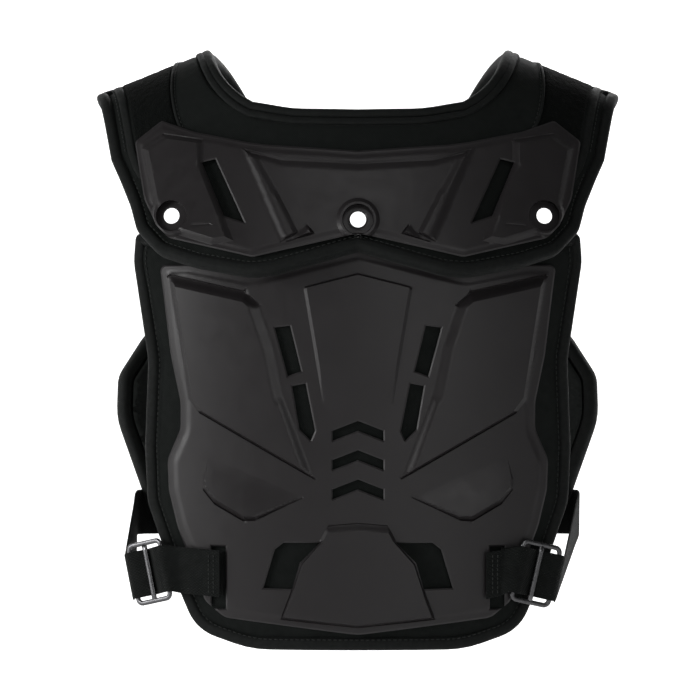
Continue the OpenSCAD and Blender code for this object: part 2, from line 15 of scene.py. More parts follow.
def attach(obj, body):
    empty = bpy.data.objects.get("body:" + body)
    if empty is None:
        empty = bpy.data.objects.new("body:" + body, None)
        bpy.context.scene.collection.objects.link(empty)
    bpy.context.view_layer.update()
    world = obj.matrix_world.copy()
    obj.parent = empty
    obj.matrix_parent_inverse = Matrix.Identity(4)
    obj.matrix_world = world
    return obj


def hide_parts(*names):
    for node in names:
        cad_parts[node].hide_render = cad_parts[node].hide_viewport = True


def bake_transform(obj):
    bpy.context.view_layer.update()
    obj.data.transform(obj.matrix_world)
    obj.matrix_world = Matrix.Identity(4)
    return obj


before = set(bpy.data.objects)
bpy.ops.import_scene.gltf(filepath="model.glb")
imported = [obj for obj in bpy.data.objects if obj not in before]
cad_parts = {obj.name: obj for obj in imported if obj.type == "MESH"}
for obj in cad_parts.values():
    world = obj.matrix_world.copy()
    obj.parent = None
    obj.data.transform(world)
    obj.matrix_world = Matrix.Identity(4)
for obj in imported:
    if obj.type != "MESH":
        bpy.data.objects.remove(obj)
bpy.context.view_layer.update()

MM = 0.001

# ---------- dimensions shared with the CAD part ----------

UPPER_R, LOWER_R, BACK_R = 420.0, 320.0, 390.0
UPPER_LEAN, LOWER_LEAN, BACK_LEAN, REAR_LEAN = map(math.radians, (24.0, 4.0, 4.0, 14.0))
PAD_T, PLATE_T, PLATE_GAP, LINER_T = 12.0, 3.2, 1.0, 1.5
BINDING_W = 11.0
HOLE_R, RECESS_R = 6.4, 12.0
NECK_Z, FLEX_Z, BACK_Z = 420.0, 340.0, 330.0
WEBBING_W, WEBBING_T = 38.0, 1.6
BAR_R, BAR_PITCH = 1.6, 17.0
FRONT_BAR_X = {"left": 157.0, "right": 129.5}
BUCKLE_TURN = {"left": math.radians(36), "right": math.radians(23)}
BUCKLE_LEAN = math.radians(14)
STRAP_Z, BAR_Z, BAR_OUT, ANCHOR_Z = 63.0, 66.0, 8.6, 106.0
SLOT_X, SLOT_W, SLOT_LOW_Z, SLOT_HIGH_Z = 113.0, 12.0, 34.0, 85.0
SIDES = {"left": -1, "right": 1}
RIDGE_X, RIDGE_Z, RIDGE_SLOPE = 112, 498, 0.408
STRAP_START_X, STRAP_START_Z, STRAP_START_SLOPE = 84, 448, 48 / 117

# A wall is y and z of its axis, its turn about X, and -1 for the front or 1 for the back
UPPER_WALL = (-99 + UPPER_R / math.cos(UPPER_LEAN), NECK_Z, -UPPER_LEAN, -1)
LOWER_WALL = (-117 + LOWER_R / math.cos(LOWER_LEAN), FLEX_Z, LOWER_LEAN, -1)
BACK_WALL = (112 - BACK_R / math.cos(BACK_LEAN), BACK_Z, -BACK_LEAN, 1)

# Half outlines in X and Z from top centre to bottom centre: x, z, corner radius
UPPER_PLATE = [(0, 404, 0), (81, 410, 120), (133, 421, 4), (160, 431, 4), (182, 414, 5), (173, 366, 25),
               (162, 344, 10), (152, 334, 10), (118, 326, 30), (84, 318, 10), (0, 337, 40)]
UPPER_PAD_SIDE = [(201, 400, 0), (193, 383, 60), (184, 362, 30), (178, 341, 20), (160, 322, 20),
                  (130, 312, 30), (87, 304, 40), (66, 306, 30), (0, 325, 60)]
LOWER_PLATE = [(0, 324, 0), (87, 303, 20), (137, 313, 3), (161, 313, 5), (158, 290, 30), (152, 240, 40),
               (144, 202, 30), (144, 180, 20), (155, 155, 20), (154, 130, 30), (147, 101, 40),
               (139, 80, 30), (124, 40, 12), (108, 27, 15), (66, 22, 60), (0, 14, 40)]
LOWER_PAD = [(0, 331, 0), (120, 331, 20), (180, 341, 6), (182, 316, 40), (170, 236, 60), (173, 165, 60),
             (171, 120, 40), (150, 60, 60), (131, 16, 36), (86, 1, 90), (0, 1, 0)]
BACK_PAD = [(0, 320, 20), (28, 330, 0), (140, 330, 0), (150, 282, 40), (182, 256, 30), (203, 222, 25),
            (204, 186, 60), (182, 122, 30), (168, 84, 30), (148, 44, 30), (112, 18, 30), (0, 16, 0)]
BACK_UPPER_PLATE = [(0, 304, 12), (26, 318, 6), (118, 322, 8), (136, 296, 20), (130, 262, 20),
                    (96, 236, 16), (44, 226, 20), (0, 240, 12)]
BACK_LOWER_PLATE = [(0, 226, 12), (46, 212, 20), (104, 224, 14), (140, 214, 10), (142, 150, 40),
                    (132, 80, 30), (106, 42, 16), (0, 34, 40)]
NECKLINE = [(0, 441, 0), (52, 442, 100), (84, 448, 0)]
HOLES = [(0, 348), (150, 352), (-150, 352)]

# ---------- outlines ----------


def whole(half):
    """The full outline from its right half."""
    return half + [(-x, z, r) for x, z, r in reversed(half) if x > 0.01]


def on_side(line, sign):
    """A line of the right side, or its mirror image when sign is -1."""
    return [(sign * x, v) for x, v in line]


def both_sides(loops):
    """Loops of the right side with their mirror images."""
    return loops + [on_side(loop, -1)[::-1] for loop in loops]


def circle(centre, r, n=40):
    """A loop of n points about a centre."""
    angles = [2 * math.pi * k / n for k in range(n)]
    return [(centre[0] + r * math.cos(a), centre[1] + r * math.sin(a)) for a in angles]


def rounded(points, closed=True):
    """A loop of x, z, r corners with each corner drawn as an arc."""
    out = []
    count = len(points)
    for i, (x, z, r) in enumerate(points):
        if r < 0.1 or (not closed and i in (0, count - 1)):
            out.append((x, z))
            continue
        p = np.array((x, z), float)
        a = np.array(points[i - 1][:2]) - p
        c = np.array(points[(i + 1) % count][:2]) - p
        la, lc = np.linalg.norm(a), np.linalg.norm(c)
        u, v = a / la, c / lc
        half = math.acos(max(-1, min(1, u @ v))) / 2
        if half > math.radians(89):
            out.append((x, z))
            continue
        reach = min(r / math.tan(half), 0.48 * min(la, lc))
        r = reach * math.tan(half)
        centre = p + (u + v) / np.linalg.norm(u + v) * r / math.sin(half)
        first, last = p + u * reach - centre, p + v * reach - centre
        a0 = math.atan2(first[1], first[0])
        turn = math.atan2(last[1], last[0]) - a0
        turn = (turn + math.pi) % (2 * math.pi) - math.pi
        steps = max(1, math.ceil(abs(turn) / math.radians(8)))
        for k in range(steps + 1):
            angle = a0 + turn * k / steps
            out.append(tuple(centre + r * np.array((math.cos(angle), math.sin(angle)))))
    return out


def resample(points, step, closed=True):
    """The same line with points about one step apart, corners kept."""
    pts = [np.array(p, float) for p in points]
    out = []
    for i in range(len(pts) if closed else len(pts) - 1):
        a, b = pts[i], pts[(i + 1) % len(pts)]
        n = max(1, round(float(np.linalg.norm(b - a)) / step))
        out += [a + (b - a) * k / n for k in range(n)]
    if not closed:
        out.append(pts[-1])
    keep = [out[0]]
    for p in out[1:]:
        if np.linalg.norm(p - keep[-1]) > 0.25 * min(step, 1.0):
            keep.append(p)
    return np.array(keep)


def grown(points, d):
    """A loop moved outwards by d along its corner normals; negative d moves it inwards."""
    p = np.array([q[:2] for q in points], float)
    if signed_area(p) < 0:
        return grown(p[::-1], d)[::-1]
    e = np.roll(p, -1, 0) - p
    e /= np.maximum(np.linalg.norm(e, axis=1, keepdims=True), 1e-9)
    n = np.stack((e[:, 1], -e[:, 0]), 1)
    m = np.roll(n, 1, 0)
    scale = np.maximum(1 + (m * n).sum(1, keepdims=True), 0.3)
    return p + (m + n) / scale * d


def signed_area(p):
    """Area of a loop, negative when it turns clockwise."""
    q = np.roll(p, -1, 0)
    return 0.5 * float((p[:, 0] * q[:, 1] - q[:, 0] * p[:, 1]).sum())


def inside(p, loop):
    """Which points lie inside a loop."""
    a = np.asarray(loop, float)[:, :2]
    b = np.roll(a, -1, 0)
    hit = np.zeros(len(p), bool)
    for (x0, z0), (x1, z1) in zip(a, b):
        if z0 == z1:
            continue
        cross = (z0 > p[:, 1]) != (z1 > p[:, 1])
        hit ^= cross & (p[:, 0] < (x1 - x0) * (p[:, 1] - z0) / (z1 - z0) + x0)
    return hit


def edge_distance(p, loop, closed=True):
    """Distance to a loop's nearest edge."""
    a = np.asarray(loop, float)[:, :2]
    b = np.roll(a, -1, 0)
    if not closed:
        a, b = a[:-1], b[:-1]
    best = np.full(len(p), 1e9)
    for i in range(len(a)):
        d = b[i] - a[i]
        t = np.clip(((p - a[i]) @ d) / max(float(d @ d), 1e-9), 0, 1)
        best = np.minimum(best, np.linalg.norm(p - a[i] - t[:, None] * d, axis=1))
    return best


def depth_in(p, loop):
    """Distance inside a loop, negative outside."""
    return np.where(inside(p, loop), 1, -1) * edge_distance(p, loop)


def ease(t):
    """A smooth step from 0 to 1."""
    t = np.clip(t, 0, 1)
    return t * t * (3 - 2 * t)


# ---------- curved surfaces ----------


def wall_y(wall, x, z, r):
    """Height in Y of a wall of radius r over x and z."""
    axis_y, axis_z, turn, face = wall
    return axis_y + (face * np.sqrt(r * r - x * x) - (z - axis_z) * math.sin(turn)) / math.cos(turn)


def on_wall(wall, base):
    """Maps x, z and a lift above the base radius to a point."""
    def place(u, v, lift):
        return np.stack((u, wall_y(wall, u, v, base + lift), v), 1)
    return place


def shoulder(x):
    """Section of the shoulder strap at x: y, z and radius of its round."""
    x = np.abs(x)
    nf = (-math.cos(UPPER_LEAN), math.sin(UPPER_LEAN))
    nb = (math.cos(REAR_LEAN), math.sin(REAR_LEAN))
    df = nf[0] * wall_y(UPPER_WALL, x, NECK_Z, UPPER_R + PAD_T) + nf[1] * NECK_Z
    db = nb[0] * wall_y(BACK_WALL, x, BACK_Z, BACK_R + PAD_T) + nb[1] * BACK_Z
    top = RIDGE_Z - RIDGE_SLOPE * (x - RIDGE_X)
    spread = nb[0] * (1 - nf[1]) - nf[0] * (1 - nb[1])
    r = (nb[0] * (df - nf[1] * top) - nf[0] * (db - nb[1] * top)) / spread
    return (df - r - nf[1] * (top - r)) / nf[0], top - r, r


def strap_point(x, s, lift):
    """Point at x and path length s from the ridge, lifted off the outer skin."""
    cy, cz, r = shoulder(x)
    a = np.clip(s / r, UPPER_LEAN - math.pi / 2, math.pi / 2 - REAR_LEAN)
    rest = s - r * a
    y = cy + (r + lift) * np.sin(a) + rest * np.cos(a)
    z = cz + (r + lift) * np.cos(a) - rest * np.sin(a)
    return np.stack((x, y, z), -1)


FRONT_ARC, REAR_ARC = math.pi / 2 - UPPER_LEAN, math.pi / 2 - REAR_LEAN


def front_length(x, z):
    """Path length from the ridge down the front to height z."""
    _, cz, r = shoulder(x)
    return r * FRONT_ARC + (cz + r * math.cos(FRONT_ARC) - z) / math.sin(FRONT_ARC)


def rear_length(x, z):
    """Path length from the ridge down the rear to height z."""
    _, cz, r = shoulder(x)
    return r * REAR_ARC + (cz + r * math.cos(REAR_ARC) - z) / math.sin(REAR_ARC)


def v_of(x, s):
    """Height coordinate of the yoke's surface: z on the flat front, then path length over the shoulder."""
    _, cz, r = shoulder(x)
    return cz + r * math.cos(FRONT_ARC) + (s + r * FRONT_ARC) * math.cos(UPPER_LEAN)


def s_of(x, v):
    """Path length from the ridge of a point with the yoke's height coordinate v."""
    _, cz, r = shoulder(x)
    return (v - cz - r * math.cos(FRONT_ARC)) / math.cos(UPPER_LEAN) - r * FRONT_ARC


def on_yoke(u, v, lift):
    """Maps x, v and a lift above the outer skin to a point of the yoke."""
    return strap_point(u, s_of(u, v), lift)


def strap_edges(t, rear):
    """Inner and outer x of the strap, t from 0 at the ridge to 1 at its far end."""
    if rear:
        return 120 - 92 * t ** 1.3, 217.5 - 77.5 * (1 - (1 - t) ** 1.8)
    return 120 - 10 * t - 26 * t ** 4, 217.5 - 16.5 * t


def strap_line(place, inset=0.0, rear=True, front=True, steps=14):
    """Line along the right strap from its front end to its rear end, as x and v.
    place is 0 at the inner edge and 1 at the outer edge, or a pair for the ridge and the front end;
    inset moves it in mm."""
    place, end_place = place if isinstance(place, tuple) else (place, place)
    line = []
    for k in range(steps if front else 0):
        t = 1 - k / steps
        a, b = strap_edges(t, False)
        x = a + (place + (end_place - place) * t) * (b - a) + inset
        end = front_length(x, STRAP_START_Z - STRAP_START_SLOPE * (x - STRAP_START_X))
        line.append((x, v_of(x, -t * end)))
    for k in range(steps + 1 if rear else 1):
        t = k / steps
        a, b = strap_edges(t, True)
        x = a + place * (b - a) + inset
        line.append((x, v_of(x, t * rear_length(x, BACK_Z))))
    return [(float(x), float(v)) for x, v in line]


# ---------- mesh making ----------


def mesh_object(name, verts, faces, material):
    """A smooth shaded object from points in mm."""
    mesh = bpy.data.meshes.new(name)
    mesh.from_pydata((np.asarray(verts, float) * MM).tolist(), [], faces)
    mesh.validate()
    mesh.update()
    obj = bpy.data.objects.new(name, mesh)
    bpy.context.collection.objects.link(obj)
    mesh.materials.append(material)
    mesh.polygons.foreach_set("use_smooth", [True] * len(mesh.polygons))
    return obj


def fix_normals(obj):
    """Turns a closed mesh the right way out."""
    bm = bmesh.new()
    bm.from_mesh(obj.data)
    bmesh.ops.recalc_face_normals(bm, faces=bm.faces)
    if bm.calc_volume(signed=True) < 0:
        bmesh.ops.reverse_faces(bm, faces=bm.faces)
    bm.to_mesh(obj.data)
    bm.free()


def path_run(path):
    """Length along a path at each of its points."""
    return np.concatenate(((0,), np.cumsum(np.linalg.norm(np.diff(path, axis=0), axis=1))))


def unit(vectors):
    """Rows scaled to length 1."""
    return vectors / np.linalg.norm(vectors, axis=1, keepdims=True)


def add_attribute(obj, name, values):
    """Stores one number for each point of a mesh."""
    attribute = obj.data.attributes.new(name, "FLOAT", "POINT")
    attribute.data.foreach_set("value", np.asarray(values, np.float32))


def triangulate(outline, holes, creases, spacing):
    """Triangles over an outline less its holes, with edges along every crease."""
    rng = np.random.default_rng(11)
    loops = [(resample(outline, spacing), True)] + [(resample(h, spacing), True) for h in holes]
    loops += [(resample(c, spacing, closed), closed) for c, closed in creases]
    points, edges = [], []
    for loop, closed in loops:
        base = len(points)
        points += [tuple(p) for p in loop]
        n = len(loop)
        edges += [(base + i, base + (i + 1) % n) for i in range(n if closed else n - 1)]
    low, high = np.min(outline, axis=0)[:2], np.max(outline, axis=0)[:2]
    step_z = spacing * 0.866
    rows = np.arange(low[1] + step_z / 2, high[1], step_z)
    grid = np.array([(x + (i % 2) * spacing / 2, z) for i, z in enumerate(rows)
                     for x in np.arange(low[0], high[0], spacing)])
    grid += rng.uniform(-0.06, 0.06, grid.shape) * spacing
    keep = inside(grid, outline)
    for loop, closed in loops:
        keep &= edge_distance(grid, loop, closed=closed) > 0.5 * spacing
    for hole in holes:
        keep &= ~inside(grid, hole)
    points += [tuple(p) for p in grid[keep]]
    verts, _, tris, *_ = delaunay_2d_cdt([Vector(p) for p in points], edges, [], 0, 1e-4)
    verts = np.array([tuple(v) for v in verts])
    tris = np.array([t for t in tris if len(t) == 3])
    centre = verts[tris].mean(1)
    good = inside(centre, outline)
    for hole in holes:
        good &= ~inside(centre, hole)
    tris = tris[good]
    area = np.cross(verts[tris[:, 1]] - verts[tris[:, 0]], verts[tris[:, 2]] - verts[tris[:, 0]])
    tris = tris[np.abs(area) > 1e-6]
    area = area[np.abs(area) > 1e-6]
    tris[area < 0] = tris[area < 0][:, ::-1]
    used = np.unique(tris)
    remap = np.zeros(len(verts), int)
    remap[used] = np.arange(len(used))
    return verts[used], remap[tris]


def sheet_solid(name, place, outline, holes, creases, top, under, spacing, material):
    """A closed sheet: top and under are the lifts of its two faces, each a number of mm or a function of
    the points and their rim distances."""
    verts, tris = triangulate(outline, holes, creases, spacing)
    rim = edge_distance(verts, outline)
    for hole in holes:
        rim = np.minimum(rim, edge_distance(verts, hole))
    lifts = [lift(verts, rim) if callable(lift) else np.full(len(verts), lift) for lift in (top, under)]
    layers = [place(verts[:, 0], verts[:, 1], lift) for lift in lifts]
    n = len(verts)
    edges = np.concatenate((tris[:, [0, 1]], tris[:, [1, 2]], tris[:, [2, 0]]))
    keys = {(a, b) for a, b in edges.tolist()}
    border = [(a, b) for a, b in keys if (b, a) not in keys]
    faces = tris.tolist() + (tris[:, ::-1] + n).tolist()
    faces += [(b, a, a + n, b + n) for a, b in border]
    obj = mesh_object(name, np.concatenate(layers), faces, material)
    fix_normals(obj)
    return obj


def sweep(name, path, across, out, section, material, closed=False):
    """A section swept along a path; section points are (across, out) in mm."""
    ring = np.asarray(section, float)
    k, n = len(ring), len(path)
    verts = path[:, None] + across[:, None] * ring[None, :, :1] + out[:, None] * ring[None, :, 1:]
    faces = [(i * k + j, i * k + (j + 1) % k, (i + 1) % n * k + (j + 1) % k, (i + 1) % n * k + j)
             for i in range(n if closed else n - 1) for j in range(k)]
    if not closed:
        faces += [tuple(range(k))[::-1], tuple((n - 1) * k + j for j in range(k))]
    obj = mesh_object(name, verts.reshape(-1, 3), faces, material)
    add_attribute(obj, "along", np.repeat(path_run(path), k))
    add_attribute(obj, "across", np.tile(ring[:, 0], n))
    fix_normals(obj)
    return obj


def tube(name, path, normals, section, material, closed=False):
    """A section swept along a path, with its own out direction kept close to the normals."""
    ahead = np.roll(path, -1, 0) - np.roll(path, 1, 0)
    if not closed:
        ahead[0], ahead[-1] = path[1] - path[0], path[-1] - path[-2]
    ahead = unit(ahead)
    across = unit(np.cross(ahead, normals))
    return sweep(name, path, across, np.cross(across, ahead), section, material, closed)


def oval(a, b, n=14, power=2.4):
    """Section points of a superellipse."""
    out = []
    for k in range(n):
        t = 2 * math.pi * k / n
        c, s = math.cos(t), math.sin(t)
        out.append((a * math.copysign(abs(c) ** (2 / power), c), b * math.copysign(abs(s) ** (2 / power), s)))
    return out


def line_on(place, points, lift, step=3.5, closed=False):
    """Points of a line laid on a surface, with the surface's outward normals."""
    flat = resample(points, step, closed)
    u, v = flat[:, 0], flat[:, 1]
    base = place(u, v, np.full(len(u), float(lift)))
    du = place(u + 0.5, v, np.full(len(u), float(lift))) - base
    dv = place(u, v + 0.5, np.full(len(u), float(lift))) - base
    normal = unit(np.cross(du, dv))
    lifted = place(u, v, np.full(len(u), lift + 1.0)) - base
    normal *= np.sign((normal * lifted).sum(1, keepdims=True))
    return base, normal


# Radius and sides of the sewing thread, and the rings that shape a stitch
THREAD_R, THREAD_SIDES = 0.42, 6
STITCH_RINGS = ((0.0, 0.35), (0.15, 0.9), (0.5, 1.1), (0.85, 0.9), (1.0, 0.35))  # share of length, size


def stitches(name, path, normals, length=3.0, gap=1.4):
    """A row of thread stitches along a line."""
    run = path_run(path)
    verts, faces = [], []
    for start in np.arange(gap, run[-1] - length, length + gap):
        at = [np.array([np.interp(q, run, path[:, i]) for i in range(3)]) for q in (start, start + length)]
        out = np.array([np.interp(start, run, normals[:, i]) for i in range(3)])
        d = (at[1] - at[0]) / np.linalg.norm(at[1] - at[0])
        side = np.cross(d, out)
        side /= np.linalg.norm(side)
        out = np.cross(side, d)
        base = len(verts)
        for share, size in STITCH_RINGS:
            rise = THREAD_R * (0.55 * math.sin(math.pi * share) - 0.35)
            centre = at[0] + (at[1] - at[0]) * share + out * rise
            for k in range(THREAD_SIDES):
                t = 2 * math.pi * k / THREAD_SIDES
                verts.append(centre + THREAD_R * size * (side * math.cos(t) + out * math.sin(t)))
        last = len(STITCH_RINGS) - 1
        for ring in range(last):
            row = base + ring * THREAD_SIDES
            for k in range(THREAD_SIDES):
                a, b = row + k, row + (k + 1) % THREAD_SIDES
                faces.append((a, b, b + THREAD_SIDES, a + THREAD_SIDES))
        faces.append(tuple(base + k for k in range(THREAD_SIDES))[::-1])
        faces.append(tuple(base + last * THREAD_SIDES + k for k in range(THREAD_SIDES)))
    return mesh_object(name, verts, faces, THREAD)


def evaluated(obj):
    """The object with its modifiers worked out."""
    return obj.evaluated_get(bpy.context.evaluated_depsgraph_get())


def puff(obj, cap, voxel=0.005, pressure=4.0, frames=20):
    """Inflates a pad a little by cloth simulation, then smooths it; no point moves more than cap."""
    scene = bpy.context.scene
    name, material = obj.name, obj.data.materials[0]
    bpy.context.view_layer.objects.active = obj
    remesh = obj.modifiers.new("remesh", "REMESH")
    remesh.mode = "VOXEL"
    remesh.voxel_size = voxel
    mesh = bpy.data.meshes.new_from_object(evaluated(obj))
    obj.modifiers.clear()
    obj.data = mesh
    obj.data.name = name
    rest = np.zeros(len(mesh.vertices) * 3)
    mesh.vertices.foreach_get("co", rest)
    cloth = obj.modifiers.new("cloth", "CLOTH")
    cloth.settings.use_pressure = True
    cloth.settings.uniform_pressure_force = pressure
    cloth.settings.effector_weights.gravity = 0
    cloth.settings.quality = 4
    cloth.point_cache.frame_start, cloth.point_cache.frame_end = 1, frames
    for number in range(1, frames + 1):
        scene.frame_set(number)
    moved = np.zeros(len(rest))
    evaluated(obj).data.vertices.foreach_get("co", moved)
    obj.modifiers.clear()
    scene.frame_set(1)
    shift = (moved - rest).reshape(-1, 3)
    size = np.linalg.norm(shift, axis=1, keepdims=True)
    shift *= np.minimum(1, cap / np.maximum(size, 1e-9))
    mesh.vertices.foreach_set("co", (rest.reshape(-1, 3) + shift).ravel())
    smooth = obj.modifiers.new("smooth", "SMOOTH")
    smooth.factor, smooth.iterations = 0.5, 3
    fine = obj.modifiers.new("fine", "SUBSURF")
    fine.levels = fine.render_levels = 1
    final = bpy.data.meshes.new_from_object(evaluated(obj))
    obj.modifiers.clear()
    obj.data = final
    if not final.materials:
        final.materials.append(material)
    final.polygons.foreach_set("use_smooth", [True] * len(final.polygons))


# ---------- materials ----------


def material(name, dark, light, roughness, scale=60.0, sheen=0.0, metallic=0.0, specular=0.5, bumps=(),
             edge_wear_and_highlight=None):
    """Procedural material: colour and roughness vary between two values, with a stack of bumps.
    A bump is (kind, scale per metre, height in mm); the last argument is the colour of its sharp edges, partly
    wear and partly a painted highlight along chamfers."""
    mat = bpy.data.materials.new(name)
    mat.use_nodes = True
    nodes, links = mat.node_tree.nodes, mat.node_tree.links

    def feed(target, inputs):
        """Sets a node's inputs to values, or links them to sockets."""
        for key, value in inputs.items():
            if isinstance(value, bpy.types.NodeSocket):
                links.new(value, target.inputs[key])
            else:
                target.inputs[key].default_value = value
        return target

    def node(kind, inputs, **settings):
        """A new node with its settings and inputs."""
        made = nodes.new("ShaderNode" + kind)
        for key, value in settings.items():
            setattr(made, key, value)
        return feed(made, inputs)

    place = node("TexCoord", {}).outputs["Object"]

    def noise(size, detail=5.0):
        return node("TexNoise", {"Scale": size, "Detail": detail, "Vector": place}).outputs["Fac"]

    def times(a, b):
        return node("Math", {0: a, 1: b}, operation="MULTIPLY").outputs["Value"]

    def stripes(axis, size):
        """Sine stripes along an object axis in metres, or along a mesh attribute in mm."""
        if axis in "XYZ":
            run = times(node("SeparateXYZ", {"Vector": place}).outputs[axis], size * 2 * math.pi)
        else:
            run = times(node("Attribute", {}, attribute_name=axis).outputs["Fac"], size * MM * 2 * math.pi)
        return node("Math", {0: run}, operation="SINE").outputs["Value"]

    colour = node("Mix", {"A": (*dark, 1), "B": (*light, 1), "Factor": noise(scale)},
                  data_type="RGBA").outputs["Result"]
    # Sharp edges lightened by pointiness: partly wear, partly a painted highlight standing in for the bright
    # lines on chamfers and glossy rims.
    if edge_wear_and_highlight:
        edges = node("NewGeometry", {}).outputs["Pointiness"]
        reach = node("MapRange", {"From Min": 0.53, "From Max": 0.62, "Value": edges}).outputs["Result"]
        colour = node("Mix", {"A": colour, "B": (*edge_wear_and_highlight, 1), "Factor": times(reach, noise(180.0))},
                      data_type="RGBA").outputs["Result"]
    rough = node("MapRange", {
        "From Min": 0.3, "From Max": 0.7, "To Min": roughness[0], "To Max": roughness[1],
        "Value": noise(scale * 2.3)}).outputs["Result"]
    shader = feed(nodes["Principled BSDF"], {
        "Base Color": colour, "Roughness": rough, "Metallic": metallic, "Specular IOR Level": specular,
        "Sheen Weight": sheen, "Sheen Roughness": 0.4})

    for kind, size, height in bumps:
        if kind == "noise":
            value = noise(size, 3.0)
        elif kind == "weave":
            value = times(stripes("X", size), stripes("Z", size))
        elif kind == "ribs":
            value = times(stripes("across", size), stripes("along", size * 0.7))
        elif kind == "cells":
            value = node("TexVoronoi", {"Scale": size, "Vector": place}).outputs["Distance"]
        inputs = {"Distance": height * MM, "Strength": 1.0, "Height": value}
        if shader.inputs["Normal"].is_linked:
            inputs["Normal"] = shader.inputs["Normal"].links[0].from_socket
        feed(shader, {"Normal": node("Bump", inputs).outputs["Normal"]})
    return mat


# The edge colours below paint highlights on sharp edges along with wear: pale lines on the plastic chamfers,
# bright rims on the metal buckles.
PLASTIC = material("moulded plastic", (0.0155, 0.0135, 0.0143), (0.02, 0.0178, 0.0187), (0.34, 0.44), 35,
                   specular=0.42, bumps=(("noise", 2600, 0.035), ("noise", 240, 0.03)),
                   edge_wear_and_highlight=(0.05, 0.048, 0.05))
FABRIC = material("cover knit", (0.0055, 0.0068, 0.0062), (0.0095, 0.0115, 0.0105), (0.75, 0.9), 70,
                  sheen=0.03, specular=0.14, bumps=(("weave", 700, 0.12), ("noise", 420, 0.12)))
BINDING = material("binding tape", (0.004, 0.005, 0.0046), (0.008, 0.0095, 0.0088), (0.6, 0.78), 120,
                   sheen=0.03, specular=0.2, bumps=(("ribs", 900, 0.1), ("noise", 350, 0.1)))
LOOP = material("loop pile", (0.0022, 0.0028, 0.0025), (0.006, 0.007, 0.0065), (0.9, 1.0), 400,
                sheen=0.03, specular=0.08,
                bumps=(("noise", 1500, 0.6), ("cells", 700, 0.4), ("noise", 160, 1.2)))
LINING = material("air mesh", (0.010, 0.012, 0.011), (0.02, 0.022, 0.021), (0.8, 0.95), 90,
                  sheen=0.05, specular=0.2, bumps=(("cells", 260, 0.6), ("noise", 900, 0.15)))
NET = material("vent mesh", (0.001, 0.001, 0.001), (0.003, 0.003, 0.003), (0.8, 0.95), 200,
               specular=0.06, bumps=(("weave", 330, 0.5),))
WEBBING = material("webbing", (0.004, 0.0048, 0.0044), (0.0075, 0.009, 0.0083), (0.65, 0.85), 90,
                   sheen=0.03, specular=0.15, bumps=(("ribs", 420, 0.22), ("noise", 600, 0.08)))
THREAD = material("thread", (0.012, 0.014, 0.013), (0.022, 0.025, 0.023), (0.5, 0.7), 500,
                  specular=0.35, bumps=(("noise", 3000, 0.05),))
METAL = material("dark nickel", (0.10, 0.10, 0.105), (0.17, 0.17, 0.175), (0.2, 0.34), 150,
                 metallic=1.0, bumps=(("noise", 900, 0.02),), edge_wear_and_highlight=(0.45, 0.45, 0.46))
NYLON = material("rivet nylon", (0.012, 0.012, 0.012), (0.02, 0.02, 0.02), (0.4, 0.55), 120,
                 bumps=(("noise", 1500, 0.03),), edge_wear_and_highlight=(0.05, 0.05, 0.05))


def finished(obj, body=None, replaced=(), sharp=None):
    """Sets a piece's sharp edges, gives it its body and hides the CAD nodes that it stands for."""
    if sharp:
        obj.data.set_sharp_from_angle(angle=math.radians(sharp))
    if body:
        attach(obj, body)
    if replaced:
        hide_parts(*replaced)
    return obj


# ---------- plates ----------


DIP = 0.9  # width of the short ramp at the foot of a feature's edge
FINE = 1.7  # spacing of the plates' points
PLATE_SHARP = 24.0  # degrees
RIM_W, RIM_DROP = 1.3, 0.9  # rounding of a plate's cut edges


def bevel(t):
    """A straight chamfer with slightly softened ends."""
    t = np.clip(t, 0, 1)
    return 0.55 * t + 0.45 * t * t * (3 - 2 * t)


def rim_drop(rim):
    """How far a plate's face is rounded off near its rim."""
    return RIM_DROP * (1 - bevel(rim / RIM_W))


def segment_distance(p, a, b):
    """Distance of points to the segment from a to b."""
    d = np.subtract(b, a)
    t = np.clip(((p - a) @ d) / float(d @ d), 0, 1)
    return np.linalg.norm(p - a - t[:, None] * d, axis=1)


def raised(p, feature):
    """Height of a raised feature: a loop, its top height, and (width, start height) for each edge.
    An edge drops to its start height over a short ramp, then rises over its width."""
    loop, top, edges = feature
    q = np.stack((np.abs(p[:, 0]), p[:, 1]), 1)
    hit = inside(q, loop)
    height = np.full(len(p), float(top))
    for i, edge in enumerate(edges):
        if edge is None:
            continue
        width, start = edge
        away = segment_distance(q, np.array(loop[i], float), np.array(loop[(i + 1) % len(loop)], float))
        ramp = DIP if start else 0.0
        edge_height = start + (top - start) * bevel((away - ramp) / (width - ramp))
        if start:
            edge_height = np.where(away < ramp, start * away / ramp, edge_height)
        height = np.minimum(height, edge_height) if top > 0 else np.maximum(height, edge_height)
    return np.where(hit, height, 0.0)


def relief(p, features):
    """Height of all features together: the highest one, less the deepest groove."""
    heights = np.array([raised(p, feature) for feature in features])
    return np.maximum(heights.max(0), 0) + np.minimum(heights.min(0), 0)


